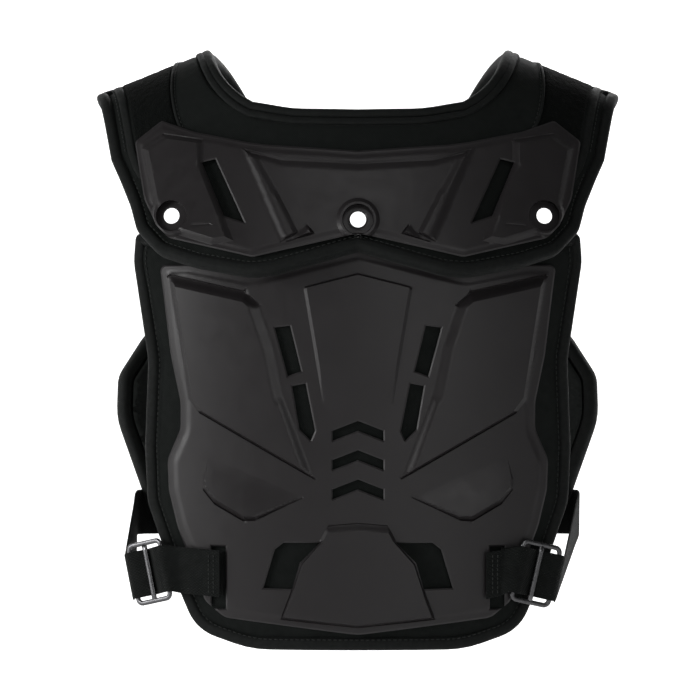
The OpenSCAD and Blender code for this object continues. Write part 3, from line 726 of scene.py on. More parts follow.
def feature_creases(features):
    """Crease lines of features: each loop, the line where its chamfer ends and the mitre between two
    chamfers, on both sides."""
    out = []
    for loop, _, edges in features:
        pts = np.array(loop, float)
        count = len(pts)
        turn = 1 if signed_area(pts) > 0 else -1
        ahead = unit(np.roll(pts, -1, 0) - pts)
        normals = [np.array((-d[1], d[0])) * turn for d in ahead]
        widths = [0.0 if edge is None else edge[0] for edge in edges]

        def corner(i, depths):
            """Corner i of the loop with its two edges moved inwards by their depths."""
            before = (i - 1) % count
            rows = np.array((normals[before], normals[i]))
            if abs(np.linalg.det(rows)) < 0.05:
                return pts[i] + normals[i] * depths[i]
            return pts[i] + np.linalg.solve(rows, (depths[before], depths[i]))

        for i, edge in enumerate(edges):
            after = (i + 1) % count
            if edge is None:
                continue
            out.append([pts[i], pts[after]])
            if edge[1]:
                dips = [DIP if other and other[1] else 0.0 for other in edges]
                out.append([corner(i, dips), corner(after, dips)])
            if edge[0] < 12:
                ends = [corner(i, widths), corner(after, widths)]
                out += [ends, [pts[i], ends[0]], [pts[after], ends[1]]]
    return [(line, False) for line in out + [on_side(line, -1) for line in out]]


UPPER_PLATE_LINE = rounded(whole(UPPER_PLATE))
UPPER_SLOT = [(126, 395.5), (115, 398), (91, 346), (107.5, 351.5)]
UPPER_FEATURES = [
    # outer block, with a slope down to the slot
    ([(125, 415), (158, 420.5), (176, 408), (166, 362), (150, 338), (118, 328), (99, 331), (107, 351),
      (124.5, 394)], 3.8, [(4.5, -0.6), (5, 0), (5.5, 0), (5, 0), (6, 0), (5, 0), (6, 0), (5, 0), (6, 0)]),
    # beam between the slot and the centre
    ([(80, 400), (94.5, 407), (70.5, 351), (61, 330), (47, 337), (66, 374)], 2.2,
     [(3, 0), (6, 0), (6, 0), (2.5, -0.6), (4, 0), (6, 0)]),
    # foot of the beam
    ([(40.4, 345), (34, 336.5), (59, 329), (47, 337)], 2.6, [(2.4, -0.9), (2.4, -0.9), (3, 0), (4, 0)]),
    # groove under the top edge
    ([(0, 395.5), (60, 398.5), (92, 406.5), (88, 400), (60, 391.5), (0, 387.5)], -1.9,
     [(2.2, 0), (2.2, 0), (2, 0), (4, 0), (6, 0), None]),
    # dart beside the fixing hole
    ([(134, 354), (116, 344), (134, 343)], 1.4, [(2, 0), (2, -0.4), (2, 0)]),
]


COLLAR_TOP, COLLAR_FLAT_R, COLLAR_SLOPE_W = 4.1, 14.3, 3.2  # raised collar round each fixing hole


def upper_plate_top(p, rim):
    """Lift of the upper plate's face."""
    edge = edge_distance(p, UPPER_PLATE_LINE)
    height = bevel((edge - 3.5) / 3)
    height += relief(p, UPPER_FEATURES)
    for hole in HOLES:
        rho = np.linalg.norm(p - hole, axis=1)
        ring = height + (COLLAR_TOP - height) * (1 - bevel((rho - COLLAR_FLAT_R) / COLLAR_SLOPE_W))
        height = np.where(rho < RECESS_R + 0.05, -0.5, np.where(rho < 18, np.maximum(ring, height), height))
    height -= rim_drop(rim) * (np.linalg.norm(np.abs(p) - HOLES[1], axis=1) > 13)
    return PLATE_T + height


def plate(name, body, wall, radius, outline, openings, creases, height, replaced, rings=(), round_holes=(),
          spacing=FINE):
    """A moulded plate on a wall, with openings cut sharp and round holes left to their rings."""
    lines = creases + [(grown(outline, -RIM_W), True)] + [(ring, True) for ring in rings]
    lines += [(grown(opening, 1.2), True) for opening in openings]
    obj = sheet_solid(name, on_wall(wall, radius + PAD_T + PLATE_GAP), outline, openings + list(round_holes),
                      lines, height, 0, spacing, PLASTIC)
    finished(obj, body, replaced, PLATE_SHARP)


plate("chest_plate_upper", "upper_front", UPPER_WALL, UPPER_R, UPPER_PLATE_LINE, both_sides([UPPER_SLOT]),
      feature_creases(UPPER_FEATURES), upper_plate_top, ["front_upper_plate"],
      [circle(h, RECESS_R + step) for h in HOLES for step in (0, 0.6, 2.4, 5.4)],
      [circle(h, HOLE_R) for h in HOLES])

LOWER_PLATE_LINE = rounded(whole(LOWER_PLATE))
LONG_SLOTS = [[(67, 262), (54.5, 263.5), (45.6, 227), (56.5, 223)],
              [(53, 215), (42, 217), (34.5, 179), (38, 171), (47, 180)]]
WINDOW = [(31, 88.5), (60, 88.5), (67, 83), (76.5, 51.5), (53, 51), (47, 72)]


def chevron(z):
    """A V-shaped vent with its tip at height z."""
    return [(0, z), (20.5, z - 8), (20.5, z - 16), (0, z - 8), (-20.5, z - 16), (-20.5, z - 8)]


CHEVRONS = [chevron(187 - 23.6 * k) for k in range(3)]
WEBBING_SLOT = [(SLOT_X - SLOT_W / 2, SLOT_LOW_Z), (SLOT_X + SLOT_W / 2, SLOT_LOW_Z),
                (SLOT_X + SLOT_W / 2, SLOT_HIGH_Z), (SLOT_X - SLOT_W / 2, SLOT_HIGH_Z)]
LOWER_FEATURES = [
    # pectoral panel: top edge, rounded inner corner, inner edge, diagonal, outer edge
    ([(153, 306), (92, 292), (80, 282), (68, 247), (60, 208), (35, 139.5), (128, 192.5), (137, 204)], 3.6,
     [(9.5, -2.2), (8, -1.2), (9, 0), (9, 0), (7, 0), (2.6, -1.2), (3.2, 0), (3.2, 0)]),
    # centre panel, fading downwards
    ([(0, 306), (44, 295), (28, 200), (22, 192), (0, 192)], 1.7,
     [(1.8, -0.5), (2.6, 0), (16, 0), (40, 0), None]),
    # teardrop with an undercut lip
    ([(121, 157), (126, 139), (125.5, 130), (116.5, 119), (93, 105.5), (83, 106), (44, 124.5), (82, 142)],
     4.2, [(3, 0), (3, 0), (4, -0.8), (4.4, -1.7), (4.4, -1.7), (3.5, -0.8), (34, 0), (34, 0)]),
    # keel
    ([(0, 105), (24, 103), (31, 90), (47, 72), (55, 47), (63, 26), (0, 19.5)], 3.4,
     [(6.5, -0.8), (2.5, 0), (2.2, -0.6), (2.2, -0.6), (2.5, -0.6), (2.6, -0.8), None]),
]


def lower_plate_top(p, rim):
    """Lift of the lower plate's face."""
    edge = edge_distance(p, LOWER_PLATE_LINE)
    height = 1.1 * bevel((edge - 5) / 3.2)
    height += relief(p, LOWER_FEATURES)
    return PLATE_T + height - rim_drop(rim)


plate("chest_plate_lower", "lower_front", LOWER_WALL, LOWER_R, LOWER_PLATE_LINE,
      both_sides(LONG_SLOTS + [WINDOW, WEBBING_SLOT]) + CHEVRONS, feature_creases(LOWER_FEATURES),
      lower_plate_top, ["front_lower_plate"])

FLANGE_W, PANEL_SLOPE_W, PANEL_RISE = 9, 5, 3.4


def back_plate(name, half, vents, replaced):
    """A back plate: a flange with a raised panel and slanted vents."""
    outline = rounded(whole(half))
    base = grown(outline, -FLANGE_W)

    def height(p, rim):
        lift = PANEL_RISE * bevel(depth_in(p, base) / PANEL_SLOPE_W) * inside(p, base)
        return PLATE_T + lift - rim_drop(rim)

    plate(name, "back", BACK_WALL, BACK_R, outline, both_sides(vents),
          [(base, True), (grown(base, -PANEL_SLOPE_W), True)], height, replaced, spacing=FINE * 1.3)


back_plate("back_plate_high", BACK_UPPER_PLATE,
           [[(104, 296), (92, 297), (72, 254), (86, 256)], [(68, 292), (56, 293), (44, 258), (56, 258)]],
           ["back_upper_plate"])
back_plate("back_plate_low", BACK_LOWER_PLATE,
           [[(78, z), (34, z - 12), (34, z - 20), (78, z - 8)] for z in (184, 150, 116)], ["back_lower_plate"])

# ---------- pads and bindings ----------


PAD_TUCK = 8.0  # how far a pad reaches into its binding
REAR_TUCK = 21.0  # how far the straps reach into the back pad
ROUND_W, CROWN_W = 4, 9  # bands along a pad's rim where it is rounded off and where it swells
CLOTH_STEP = 4.0  # spacing of the points of pads and linings


PAD_TOP, PAD_SWELL = -2.6, 0.0024  # face before it swells, in mm, and the most it swells, in metres


def pad(name, place, outline, holes, replaced, body, top=PAD_TOP, cap=PAD_SWELL):
    """A sewn pad: a closed shape with full edges, inflated by simulation."""
    def above(p, rim):
        return top + 1.6 * ease(rim / CROWN_W) - 3.2 * (1 - ease(rim / ROUND_W))

    def below(p, rim):
        return -PAD_T + 2.2 - 0.6 * ease(rim / CROWN_W) + 2.2 * (1 - ease(rim / ROUND_W))

    creases = [(grown(outline, -ROUND_W), True)]
    obj = sheet_solid(name, place, outline, holes, creases, above, below, CLOTH_STEP, FABRIC)
    puff(obj, cap)
    return finished(obj, body, replaced)


def skin(wall, radius):
    """Like on_wall, with the lift measured from the pad's outer skin."""
    return on_wall(wall, radius + PAD_T)


def flat_piece(name, place, outline, lifts, used, replaced, body, holes=()):
    """A sheet of cloth sewn flat on a pad; lifts are those of its two faces."""
    obj = sheet_solid(name, place, outline, holes, [], lifts[1], lifts[0], CLOTH_STEP, used)
    finished(obj, body, replaced)
    return obj


def bind(name, place, line, closed, body=None, replaced=(), half_w=BINDING_W / 2, half_t=7.0,
         lift=-PAD_T / 2):
    """A roll of binding tape that follows a line on a surface."""
    path, normals = line_on(place, line, lift, 4.0, closed)
    obj = tube(name, path, normals, oval(half_w, half_t, 18, 2.8), BINDING, closed)
    return finished(obj, body, replaced)


def sewn_line(name, place, line, lift, body=None, closed=False):
    """A row of stitches that follows a line on a surface."""
    path, normals = line_on(place, line, lift, 3.0, closed)
    return finished(stitches(name, path, normals), body)


LINER_LIFTS = (-PAD_T - LINER_T, -PAD_T - 0.1)
LOWER_PAD_LINE = rounded(whole(LOWER_PAD))
BACK_PAD_LINE = rounded(whole(BACK_PAD))
LOWER_SKIN = skin(LOWER_WALL, LOWER_R)
BACK_SKIN = skin(BACK_WALL, BACK_R)

for title, place, outline, body, nodes in (
        ("chest", LOWER_SKIN, LOWER_PAD_LINE, "lower_front", ("front_lower_pad", "front_lower_binding")),
        ("rear", BACK_SKIN, BACK_PAD_LINE, "back", ("back_pad", "back_binding"))):
    pad(f"{title}_pad", place, grown(outline, PAD_TUCK - BINDING_W), [], [nodes[0]], body)
    bind(f"{title}_binding", place, grown(outline, -BINDING_W / 2), True, body, [nodes[1]])
    sewn_line(f"{title}_stitching", place, grown(outline, 2.2 - BINDING_W), 0.75, body, True)

# ---------- yoke and shoulder straps ----------


def shoulders(obj):
    """Bakes a piece's placement into its mesh."""
    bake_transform(obj)
    return obj


PAD_HOLES = [(x, z + 2.5) for x, z in HOLES]
EYELET_R, PAD_HOLE_R = 10.2, 10.5
INNER, OUTER = strap_line(0), strap_line(1)
for strap_edge in (INNER, OUTER):
    strap_edge.append((strap_edge[-1][0] - 1, strap_edge[-1][1] + REAR_TUCK))
YOKE_NECK = rounded([(-x, z, r) for x, z, r in reversed(NECKLINE)] + NECKLINE[1:], closed=False)
YOKE_SIDE = rounded([(OUTER[0][0], OUTER[0][1], 0)] + UPPER_PAD_SIDE[1:], closed=False)[1:]
YOKE_LINE = (YOKE_NECK[:-1] + INNER + OUTER[::-1] + YOKE_SIDE + on_side(YOKE_SIDE[:-1], -1)[::-1]
             + on_side(OUTER, -1) + on_side(INNER, -1)[::-1])[:-1]
YOKE_FRONT = rounded(whole(NECKLINE + UPPER_PAD_SIDE))
RIM_START = len(YOKE_NECK) - 1 + len(INNER)
RIM_END = RIM_START + 2 * (len(OUTER) + len(YOKE_SIDE) - 1)


def yoke_rim(inset):
    """The yoke's outer edge from one rear strap end to the other, moved inwards."""
    return [tuple(q) for q in grown(YOKE_LINE, -inset)][RIM_START:RIM_END]


def yoke_neck(inset):
    """The yoke's neck edge from one rear strap end to the other, moved inwards."""
    line = [tuple(q) for q in grown(YOKE_LINE, -inset)]
    return line[RIM_END:] + line[:RIM_START]


flat_piece("yoke_liner", on_yoke, grown(YOKE_FRONT, -13), LINER_LIFTS, LINING, ["upper_liner"],
           "upper_front", [circle((x, z + 1), 13, 24) for x, z in PAD_HOLES])
for number, hole in enumerate(PAD_HOLES):
    path, normals = line_on(on_yoke, circle(hole, EYELET_R), -2.6, 2.0, True)
    eyelet = tube(f"eyelet_{number}", path, normals, oval(1.0, 2.4, 12, 3.0), NYLON, True)
    finished(eyelet, "upper_front", ["upper_eyelets"] if number == 0 else ())

yoke = pad("yoke_pad", on_yoke, grown(YOKE_LINE, PAD_TUCK - BINDING_W),
           [circle(h, PAD_HOLE_R, 24) for h in PAD_HOLES],
           ["front_upper_pad"] + [f"{end}_strap_{side}" for end in ("front", "rear") for side in SIDES],
           None, top=-3.0, cap=0.0008)
shoulders(yoke)
shoulders(bind("yoke_binding", on_yoke, yoke_rim(BINDING_W / 2), False,
               replaced=["front_upper_binding", "shoulder_rails_front", "shoulder_rails_rear"], half_w=5.2))
shoulders(bind("neck_binding", on_yoke, yoke_neck(BINDING_W / 2), False, replaced=["collar_piping"],
               half_w=4.6, half_t=7.2))
shoulders(bind("neck_cord", on_yoke, yoke_neck(12.6), False, half_w=3.0, half_t=2.6, lift=-1.0))

for side, sign in SIDES.items():
    rib = [(174, 384), (180, 394)] + strap_line(1, -16.5)
    shoulders(bind(f"shoulder_rib_{side}", on_yoke, on_side(rib, sign), False, half_w=3.6, half_t=2.4,
                   lift=-1.6))
    shoulders(sewn_line(f"shoulder_stitching_{side}", on_yoke, on_side(strap_line(1, -11.2), sign), 0.1))
sewn_line("yoke_stitching", on_yoke, yoke_rim(BINDING_W - 1.2)[len(OUTER):-len(OUTER)], 0.5, "upper_front")
sewn_line("neck_stitching", on_yoke, grown(YOKE_LINE, 0.6 - BINDING_W)[:len(YOKE_NECK) - 1], 0.5,
          "upper_front")


def overlay(name, line, lift, thick, spacing, used, rough=0.0):
    """A sheet of fabric sewn on the strap."""
    rng = np.random.default_rng(len(name))

    def above(p, rim):
        return lift + thick * ease(rim / 1.6) + rough * rng.uniform(-1, 1, len(p)) * (rim > 1)

    return sheet_solid(name, on_yoke, line, [], [(grown(line, -1.8), True)], above, lift - 0.5, spacing, used)


# The seam between the cover and the loop tape, as shares of the strap's width at the ridge and the front
SEAM = (0.31, 0.51)
COVER_INSET = 15.4  # from the neck edge, clear of its binding and cord
REAR_END = v_of(80.0, rear_length(80.0, BACK_Z)) - 14
seam_line = [q for q in strap_line(SEAM, steps=20) if q[1] < REAR_END]
neck_side = [q for q in strap_line(0, COVER_INSET, steps=20) if q[1] < REAR_END]
cover_side = [(seam_line[0][0] - 1, 405), *seam_line, *neck_side[::-1]]
neck_low = [q for q in grown(YOKE_FRONT, -COVER_INSET) if abs(q[0]) < neck_side[0][0] - 4 and q[1] > 400]
neck_low = sorted(neck_low, key=lambda q: -q[0])
cover_line = cover_side + neck_low + on_side(cover_side, -1)[::-1] + [(-90, 400), (0, 394), (90, 400)]
cover = overlay("yoke_cover", cover_line, -0.9, 1.0, 3.4, FABRIC)
finished(cover, None, ["strap_panel_left", "strap_panel_right"])
shoulders(cover)

loop_in = strap_line(SEAM, 1.4, rear=False, steps=16)
loop_out = strap_line(1, -20.5, rear=False, steps=16)
loop_line = [(loop_out[0][0] - 3, 398), *loop_out, *loop_in[::-1], (loop_in[0][0] - 1, 405)]
for side, sign in SIDES.items():
    tape = overlay(f"loop_tape_{side}", on_side(loop_line, sign), -0.6, 0.9, 2.0, LOOP, 0.35)
    finished(tape, None, [f"loop_strip_{side}"])
    shoulders(tape)
    seam = [(x - 2.2, v) for x, v in seam_line]
    shoulders(sewn_line(f"cover_stitching_{side}", on_yoke, on_side(seam, sign), 0.5))
    edge = [(x - 0.2, v) for x, v in seam_line]
    shoulders(bind(f"cover_edge_{side}", on_yoke, on_side(edge, sign), False, half_w=1.3, half_t=1.3,
                   lift=0.3))

# ---------- waist ----------


LOWER_UP = np.array((0, -math.sin(LOWER_LEAN), math.cos(LOWER_LEAN)))
BACK_UP = np.array((0, math.sin(BACK_LEAN), math.cos(BACK_LEAN)))
TAIL_X = {"left": 112.0, "right": 104.0}  # where the free end of the waist webbing lies
TAIL_RISE = 3  # how much higher the webbing meets the buckle than it leaves the plate's slot
GAP = 0.3
PER = 5  # path points to each listed point of the waist webbing


def lower_point(x, z, lift):
    """A point over the lower plate."""
    return np.array((x, float(wall_y(LOWER_WALL, x, z, LOWER_R + PAD_T + PLATE_GAP + lift)), z))


def webbing_point(x, bar, lift):
    """A point of the webbing's middle line, which rises a little from the slot to the buckle's bar."""
    return lower_point(x, STRAP_Z + TAIL_RISE * (x - SLOT_X) / (bar - SLOT_X), lift)


def rear_point(x, lift):
    """A point over the back pad at the height of the webbing's patch."""
    return np.array((x, float(wall_y(BACK_WALL, x, ANCHOR_Z, BACK_R + PAD_T + lift)), ANCHOR_Z))


def tipped(v):
    """A direction turned with the lower front panel."""
    c, s = math.cos(LOWER_LEAN), math.sin(LOWER_LEAN)
    return np.array((v[0], v[1] * c - v[2] * s, v[1] * s + v[2] * c))


def buckle_frame(side):
    """Origin, direction along the strap, outward and upward directions of a buckle on the right side."""
    turn, x = BUCKLE_TURN[side], FRONT_BAR_X[side]
    origin = np.array((x, float(wall_y(LOWER_WALL, x, BAR_Z, LOWER_R + PAD_T + BAR_OUT)), BAR_Z))
    c, s = math.cos(BUCKLE_LEAN), math.sin(BUCKLE_LEAN)
    ahead = tipped((c * math.cos(turn), c * math.sin(turn), -s))
    out = tipped((math.sin(turn), -math.cos(turn), 0))
    return origin, ahead, out, -np.cross(ahead, out)


def smooth_path(path, ups, per):
    """Rounds a path of given points, with per points for each; ups are the ribbon's width directions."""
    path, ups = np.array(path, float), np.array(ups, float)
    out, turned = [], []
    for i in range(len(path) - 1):
        p0, p1, p2, p3 = (path[max(0, min(len(path) - 1, i + k))] for k in (-1, 0, 1, 2))
        for k in range(per):
            t = k / per
            out.append(0.5 * (2 * p1 + (p2 - p0) * t + (2 * p0 - 5 * p1 + 4 * p2 - p3) * t * t
                              + (3 * p1 - p0 - 3 * p2 + p3) * t ** 3))
            turned.append(ups[i] * (1 - t) + ups[i + 1] * t)
    out.append(path[-1])
    turned.append(ups[-1])
    return np.array(out), unit(np.array(turned))


def ribbon(name, path, ups, sign, width=WEBBING_W):
    """Flat webbing along a path, with rounded edges; sign -1 mirrors it to the left."""
    flip_x = np.array((sign, 1, 1))
    path, ups = path * flip_x, ups * flip_x
    normals = unit(np.cross(unit(np.gradient(path, axis=0)), ups))
    half, h = width / 2, WEBBING_T / 2
    columns = [-half, -half + 0.5, -half + 1.5, -half * 0.5, 0, half * 0.5, half - 1.5, half - 0.5, half]
    rise = [0.35, 0.8, 1, 1, 1, 1, 1, 0.8, 0.35]
    section = [(a, h * b) for a, b in zip(columns, rise)]
    section += [(a, -h * b) for a, b in zip(columns[::-1], rise)]
    obj = sweep(name, path, ups, normals, section, WEBBING)
    obj.data.set_sharp_from_angle(angle=math.radians(50))
    path_run(path)[-1] * MM
    return finished(obj)


def slot_webbing(side, sign):
    """The short loop from the plate's slot round the buckle's front bar."""
    origin, ahead, out, up = buckle_frame(side)
    bar = FRONT_BAR_X[side]
    under = PLATE_T + 2 * GAP + WEBBING_T / 2
    loop_r = BAR_R + GAP + WEBBING_T / 2

    def at(u, n):
        return origin + ahead * u + out * n

    through = [lower_point(SLOT_X - 4, STRAP_Z, 0.9), lower_point(SLOT_X, STRAP_Z, 1.2),
               lower_point(SLOT_X + 3, STRAP_Z, under - 0.8)]
    through += [webbing_point(x, bar, under) for x in np.arange(SLOT_X + 7, bar - 13.9, 7)]
    around = [at(-6, -loop_r), at(-3, -loop_r)]
    around += [at(loop_r * math.cos(a), loop_r * math.sin(a)) for a in np.radians(np.arange(-90, 91, 22.5))]
    around += [at(-3, loop_r - GAP)]
    back_ply = [lower_point(x, BAR_Z, under + WEBBING_T + GAP) for x in (bar - 9, bar - 13)]
    ups = [LOWER_UP] * len(through) + [up] * len(around) + [LOWER_UP] * len(back_ply)
    path, ups = smooth_path(through + around + back_ply, ups, 2)
    loop = ribbon(f"slot_webbing_{side}", path, ups, sign, WEBBING_W - 2)
    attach(loop, "lower_front")
    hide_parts(f"front_webbing_{side}")


def waist_webbing(side, sign):
    """The webbing from its free end through the buckle to the back pad, in four stretches."""
    origin, ahead, out, up = buckle_frame(side)
    bar = FRONT_BAR_X[side]
    near = BAR_R + 0.35 + WEBBING_T / 2
    front_n = near + WEBBING_T + 3 * GAP
    over = PLATE_T + 5 * GAP + 2.5 * WEBBING_T
    flip_x = np.array((sign, 1, 1))

    def at(u, n):
        return origin + ahead * u + out * n

    def metres(point):
        return tuple(point * flip_x * MM)

    tail = [webbing_point(x, bar, over) for x in np.linspace(TAIL_X[side], bar - 12, 5)]
    woven = [at(u, n) for u, n in (
        (-5, front_n - 0.3), (0, front_n), (4, front_n - 0.8), (8.5, 1), (13, 0.6 - near),
        (BAR_PITCH, -near - 0.1), (21, 0.6 - near), (25.5, 0.2), (30, near - 0.6),
        (2 * BAR_PITCH, near), (2 * BAR_PITCH + 4, near - 2), (2 * BAR_PITCH + 7, near - 6))]
    anchor = rear_point(178, 2.0) + (10, -13, -1)
    run = [woven[-1] + (anchor - woven[-1]) * k / 6 for k in range(1, 7)]
    seat = [rear_point(x, 2.0) for x in (184, 174, 161, 148)]
    ups = ([LOWER_UP + up * k / 4 for k in range(5)] + [up] * len(woven)
           + [up * (6 - k) / 6 + np.array((0, -0.2, 1)) * k / 6 for k in range(1, 7)] + [BACK_UP] * len(seat))
    path, ups = smooth_path(tail + woven + run + seat, [v / np.linalg.norm(v) for v in ups], PER)
    length = path_run(path)
    leave = (len(tail) + len(woven) - 1) * PER
    landed = leave + len(run) * PER
    mid, late = (int(np.searchsorted(length, length[leave] + share * (length[landed] - length[leave])))
                 for share in (0.35, 0.65))

    stops = (0, leave, mid, late, len(path) - 1)
    spans = ((at(2, 0), at(14, 0)), (path[leave], path[mid]), (path[mid], path[late]),
             (path[late], path[landed]))
    for k, (title, span) in enumerate(zip(("tail", "web_near", "web_middle", "web_rear"), spans)):
        part = slice(stops[k], stops[k + 1] + 1)
        piece = ribbon(f"waist_{title}_{side}", path[part], ups[part], sign)
        metres(span[0])
        metres(span[1])
        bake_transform(piece)
        if title == "tail":
            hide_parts(f"waist_webbing_{side}")

    # two rows of stitches across the free end
    for k, x in enumerate((TAIL_X[side] + 5, TAIL_X[side] + 9)):
        line = [lower_point(x, STRAP_Z + s, over + WEBBING_T / 2 + 0.1) * flip_x
                for s in np.linspace(-17, 17, 8)]
        outward = np.tile(np.array((0, -1.0, 0)), (len(line), 1))
        row = stitches(f"tail_stitching_{side}_{k}", np.array(line), outward, 2.6, 1.0)
        finished(row, "lower_front")


def buckle(side, sign):
    """A slide: a rounded closed frame with a middle bar."""
    origin, ahead, out, up = buckle_frame(side)
    flip_x = np.array((sign, 1, 1))
    tip = WEBBING_W / 2 + 4.9
    corner_r = 4.5
    length = 2 * BAR_PITCH
    corners = [(u, s, corner_r) for u, s in ((0, -tip), (length, -tip), (length, tip), (0, tip))]
    for title, line, section, closed in (
            ("frame", resample(rounded(corners), 1.6), oval(2.0, 1.5, 16, 2.6), True),
            ("bar", [(BAR_PITCH, s) for s in np.linspace(-tip, tip, 9)],
             oval(BAR_R + 0.7, BAR_R - 0.2, 16, 2.4), False)):
        path = np.array([(origin + ahead * u + up * s) * flip_x for u, s in line])
        outward = np.tile(out * flip_x, (len(path), 1))
        piece = tube(f"buckle_{title}_{side}", path, outward, section, METAL, closed)
        finished(piece, f"buckle_{side}", [f"buckle_{side}"] if title == "frame" else ())


for side, sign in SIDES.items():
    slot_webbing(side, sign)
    waist_webbing(side, sign)
for side, sign in SIDES.items():
    buckle(side, sign)

# ---------- inside and small pieces ----------

for node in ("upper_plate_rivets", "lower_plate_rivets", "back_plate_rivets"):
    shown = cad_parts[node]
    shown.data.materials.clear()
    shown.data.materials.append(NYLON)


flat_piece("chest_liner", LOWER_SKIN, grown(LOWER_PAD_LINE, -BINDING_W - 2), LINER_LIFTS, LINING,
           ["lower_liner"], "lower_front")
flat_piece("rear_liner", BACK_SKIN, grown(BACK_PAD_LINE, -BINDING_W - 2), LINER_LIFTS, LINING,
           ["back_liner"], "back")
MESH_HALF = [(0, 272, 0), (74, 272, 0), (60, 196, 0), (30, 118, 0), (0, 118, 0)]
flat_piece("slot_mesh", LOWER_SKIN, rounded(whole(MESH_HALF)), (0.1, 0.7), NET, ["vent_mesh"],
           "lower_front")
PATCH = [(145, 84), (167, 84), (171, 128), (145, 128)]
for side, sign in SIDES.items():
    outline = [(sign * x, z) for x, z in PATCH]
    flat_piece(f"webbing_patch_{side}", BACK_SKIN, outline, (3.1, 4.4), WEBBING,
               ["webbing_patches"] if sign > 0 else [], "back")
    sewn_line(f"patch_stitching_{side}", BACK_SKIN, grown(outline, -3), 4.5, "back", True)
    sewn_line(f"patch_cross_{side}", BACK_SKIN, [(sign * 149, 88), (sign * 166, 124)], 4.5, "back")

GUSSET_LOW_Z, GUSSET_H = 332, 34
GUSSET_COLUMNS, GUSSET_RISES = np.linspace(28, 128, 11), np.linspace(0, 1, 6)


def gusset_web(sign, base):
    """Points and faces of one rippled web behind the two panels' overlap; base is its first point."""
    verts, faces = [], []
    for layer in (-1, 1):
        for x in GUSSET_COLUMNS:
            y0 = float(wall_y(LOWER_WALL, x, GUSSET_LOW_Z, LOWER_R + PAD_T / 2))
            y1 = float(wall_y(UPPER_WALL, x, GUSSET_LOW_Z + GUSSET_H, UPPER_R - LINER_T)) + 1.8
            for t in GUSSET_RISES:
                ripple = 0.8 * math.sin(math.pi * t) * math.sin(x * 0.35)
                verts.append((sign * x, y0 + (y1 - y0) * t + ripple + layer, GUSSET_LOW_Z + GUSSET_H * t))
    n, m = len(GUSSET_COLUMNS), len(GUSSET_RISES)
    for layer in (0, 1):
        start = base + layer * n * m
        for i in range(n - 1):
            for j in range(m - 1):
                a, b = start + i * m + j, start + (i + 1) * m + j
                faces.append((a, b, b + 1, a + 1)[::1 if layer else -1])
    rim = ([i * m for i in range(n)] + [(n - 1) * m + j for j in range(1, m)]
           + [i * m + m - 1 for i in range(n - 2, -1, -1)] + [j for j in range(m - 2, 0, -1)])
    for a, b in zip(rim, rim[1:] + rim[:1]):
        faces.append((base + a, base + b, base + b + n * m, base + a + n * m))
    return verts, faces


left_verts, left_faces = gusset_web(-1, 0)
right_verts, right_faces = gusset_web(1, len(left_verts))
gusset = mesh_object("chest_gusset", left_verts + right_verts, left_faces + right_faces, FABRIC)
fix_normals(gusset)
finished(gusset, None, ["flex_gusset"])
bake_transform(gusset)

# ---------- stage ----------

# The stage is in metres
FLOOR_Z, WALL_Y, WALL_TOP, BEND, HALF_W = -0.30, 5.2, 5.0, 1.2, 8
VIEW_CENTRE = Vector((-0.0064, 0, 0.244))
DISTANCE = 3.15
FRONT_FACE, VIEW_W = 0.135, 0.56  # the view is this wide at the object's front face
SENSOR_W = 36


def softbox(name, place, target, size, power):
    """A rectangular light that faces its target."""
    light = bpy.data.lights.new(name, "AREA")
    light.shape = "RECTANGLE"
    light.size, light.size_y = size
    light.energy = power
    obj = bpy.data.objects.new(name, light)
    bpy.context.collection.objects.link(obj)
    obj.location = place
    obj.rotation_euler = (Vector(target) - Vector(place)).to_track_quat("-Z", "Y").to_euler()


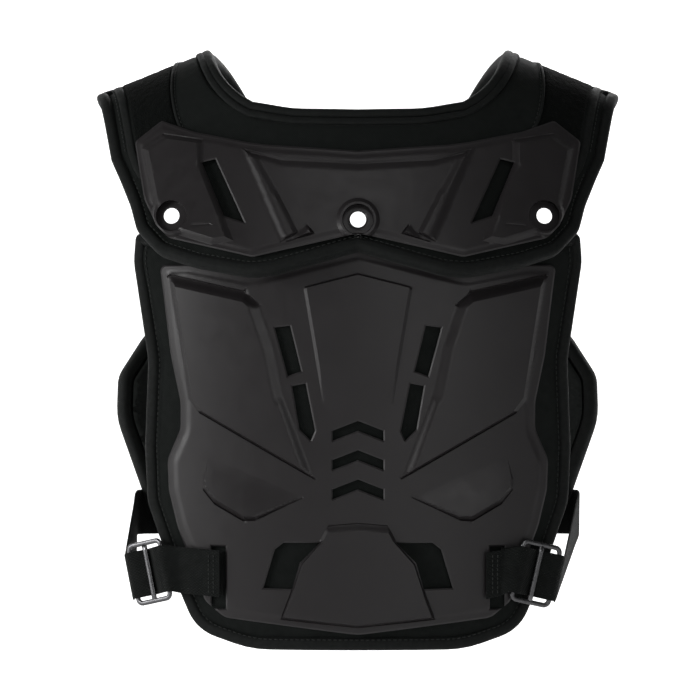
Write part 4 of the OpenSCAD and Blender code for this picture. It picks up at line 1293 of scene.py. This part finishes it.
def backdrop():
    """A pale floor that bends up into a bright wall far behind the object."""
    profile = [(-6, 0.1), (2.4, 0.1), (3.1, 1.0)]
    rows = [(y, FLOOR_Z, glow) for y, glow in profile]
    rows += [(WALL_Y - BEND + BEND * math.sin(a), FLOOR_Z + BEND * (1 - math.cos(a)), 1.0)
             for a in np.linspace(0, math.pi / 2, 12)]
    rows.append((WALL_Y, WALL_TOP, 1.0))
    mesh = bpy.data.meshes.new("backdrop")
    mesh.from_pydata([(x, y, z) for y, z, _ in rows for x in (-HALF_W, HALF_W)], [],
                     [(2 * i, 2 * i + 1, 2 * i + 3, 2 * i + 2) for i in range(len(rows) - 1)])
    mesh.polygons.foreach_set("use_smooth", [True] * len(mesh.polygons))
    obj = bpy.data.objects.new("backdrop", mesh)
    bpy.context.collection.objects.link(obj)
    add_attribute(obj, "glow", [glow for _, _, glow in rows for _ in range(2)])
    mat = bpy.data.materials.new("pale paper")
    mat.use_nodes = True
    shader = mat.node_tree.nodes["Principled BSDF"]
    shader.inputs["Base Color"].default_value = (0.9, 0.9, 0.9, 1)
    shader.inputs["Roughness"].default_value = 0.9
    shader.inputs["Emission Color"].default_value = (1, 1, 1, 1)
    glow = mat.node_tree.nodes.new("ShaderNodeAttribute")
    glow.attribute_name = "glow"
    mat.node_tree.links.new(glow.outputs["Fac"], shader.inputs["Emission Strength"])
    mesh.materials.append(mat)


backdrop()
for name, place, target_z, size, power in (
        ("key", (-2.9, -1.5, 0.75), 0.28, (0.9, 0.9), 34),
        ("high", (0, -2.3, 2.5), 0.35, (1.8, 1.0), 9),
        ("edge", (-2.8, -0.4, 0.4), 0.25, (0.4, 1.4), 14),
        ("fill", (1.2, -3.4, 0.7), 0.25, (2.0, 1.2), 14),
        ("rear", (0.6, 2.6, 1.8), 0.3, (1.6, 1.2), 34)):
    softbox(name, place, (0, 0, target_z), size, power)

world = bpy.data.worlds.new("studio")
bpy.context.scene.world = world
world.use_nodes = True
world.node_tree.nodes["Background"].inputs["Color"].default_value = (1, 1, 1, 1)
world.node_tree.nodes["Background"].inputs["Strength"].default_value = 0.07
bpy.context.scene.view_settings.view_transform = "Standard"

camera_data = bpy.data.cameras.new("camera")
camera = bpy.data.objects.new("camera", camera_data)
bpy.context.collection.objects.link(camera)
bpy.context.scene.camera = camera
camera.location = VIEW_CENTRE + Vector((0, -DISTANCE, 0))
camera.rotation_euler = (math.pi / 2, 0, 0)
camera_data.sensor_width = SENSOR_W
camera_data.lens = SENSOR_W * (DISTANCE - FRONT_FACE) / VIEW_W
camera_data.clip_end = 20
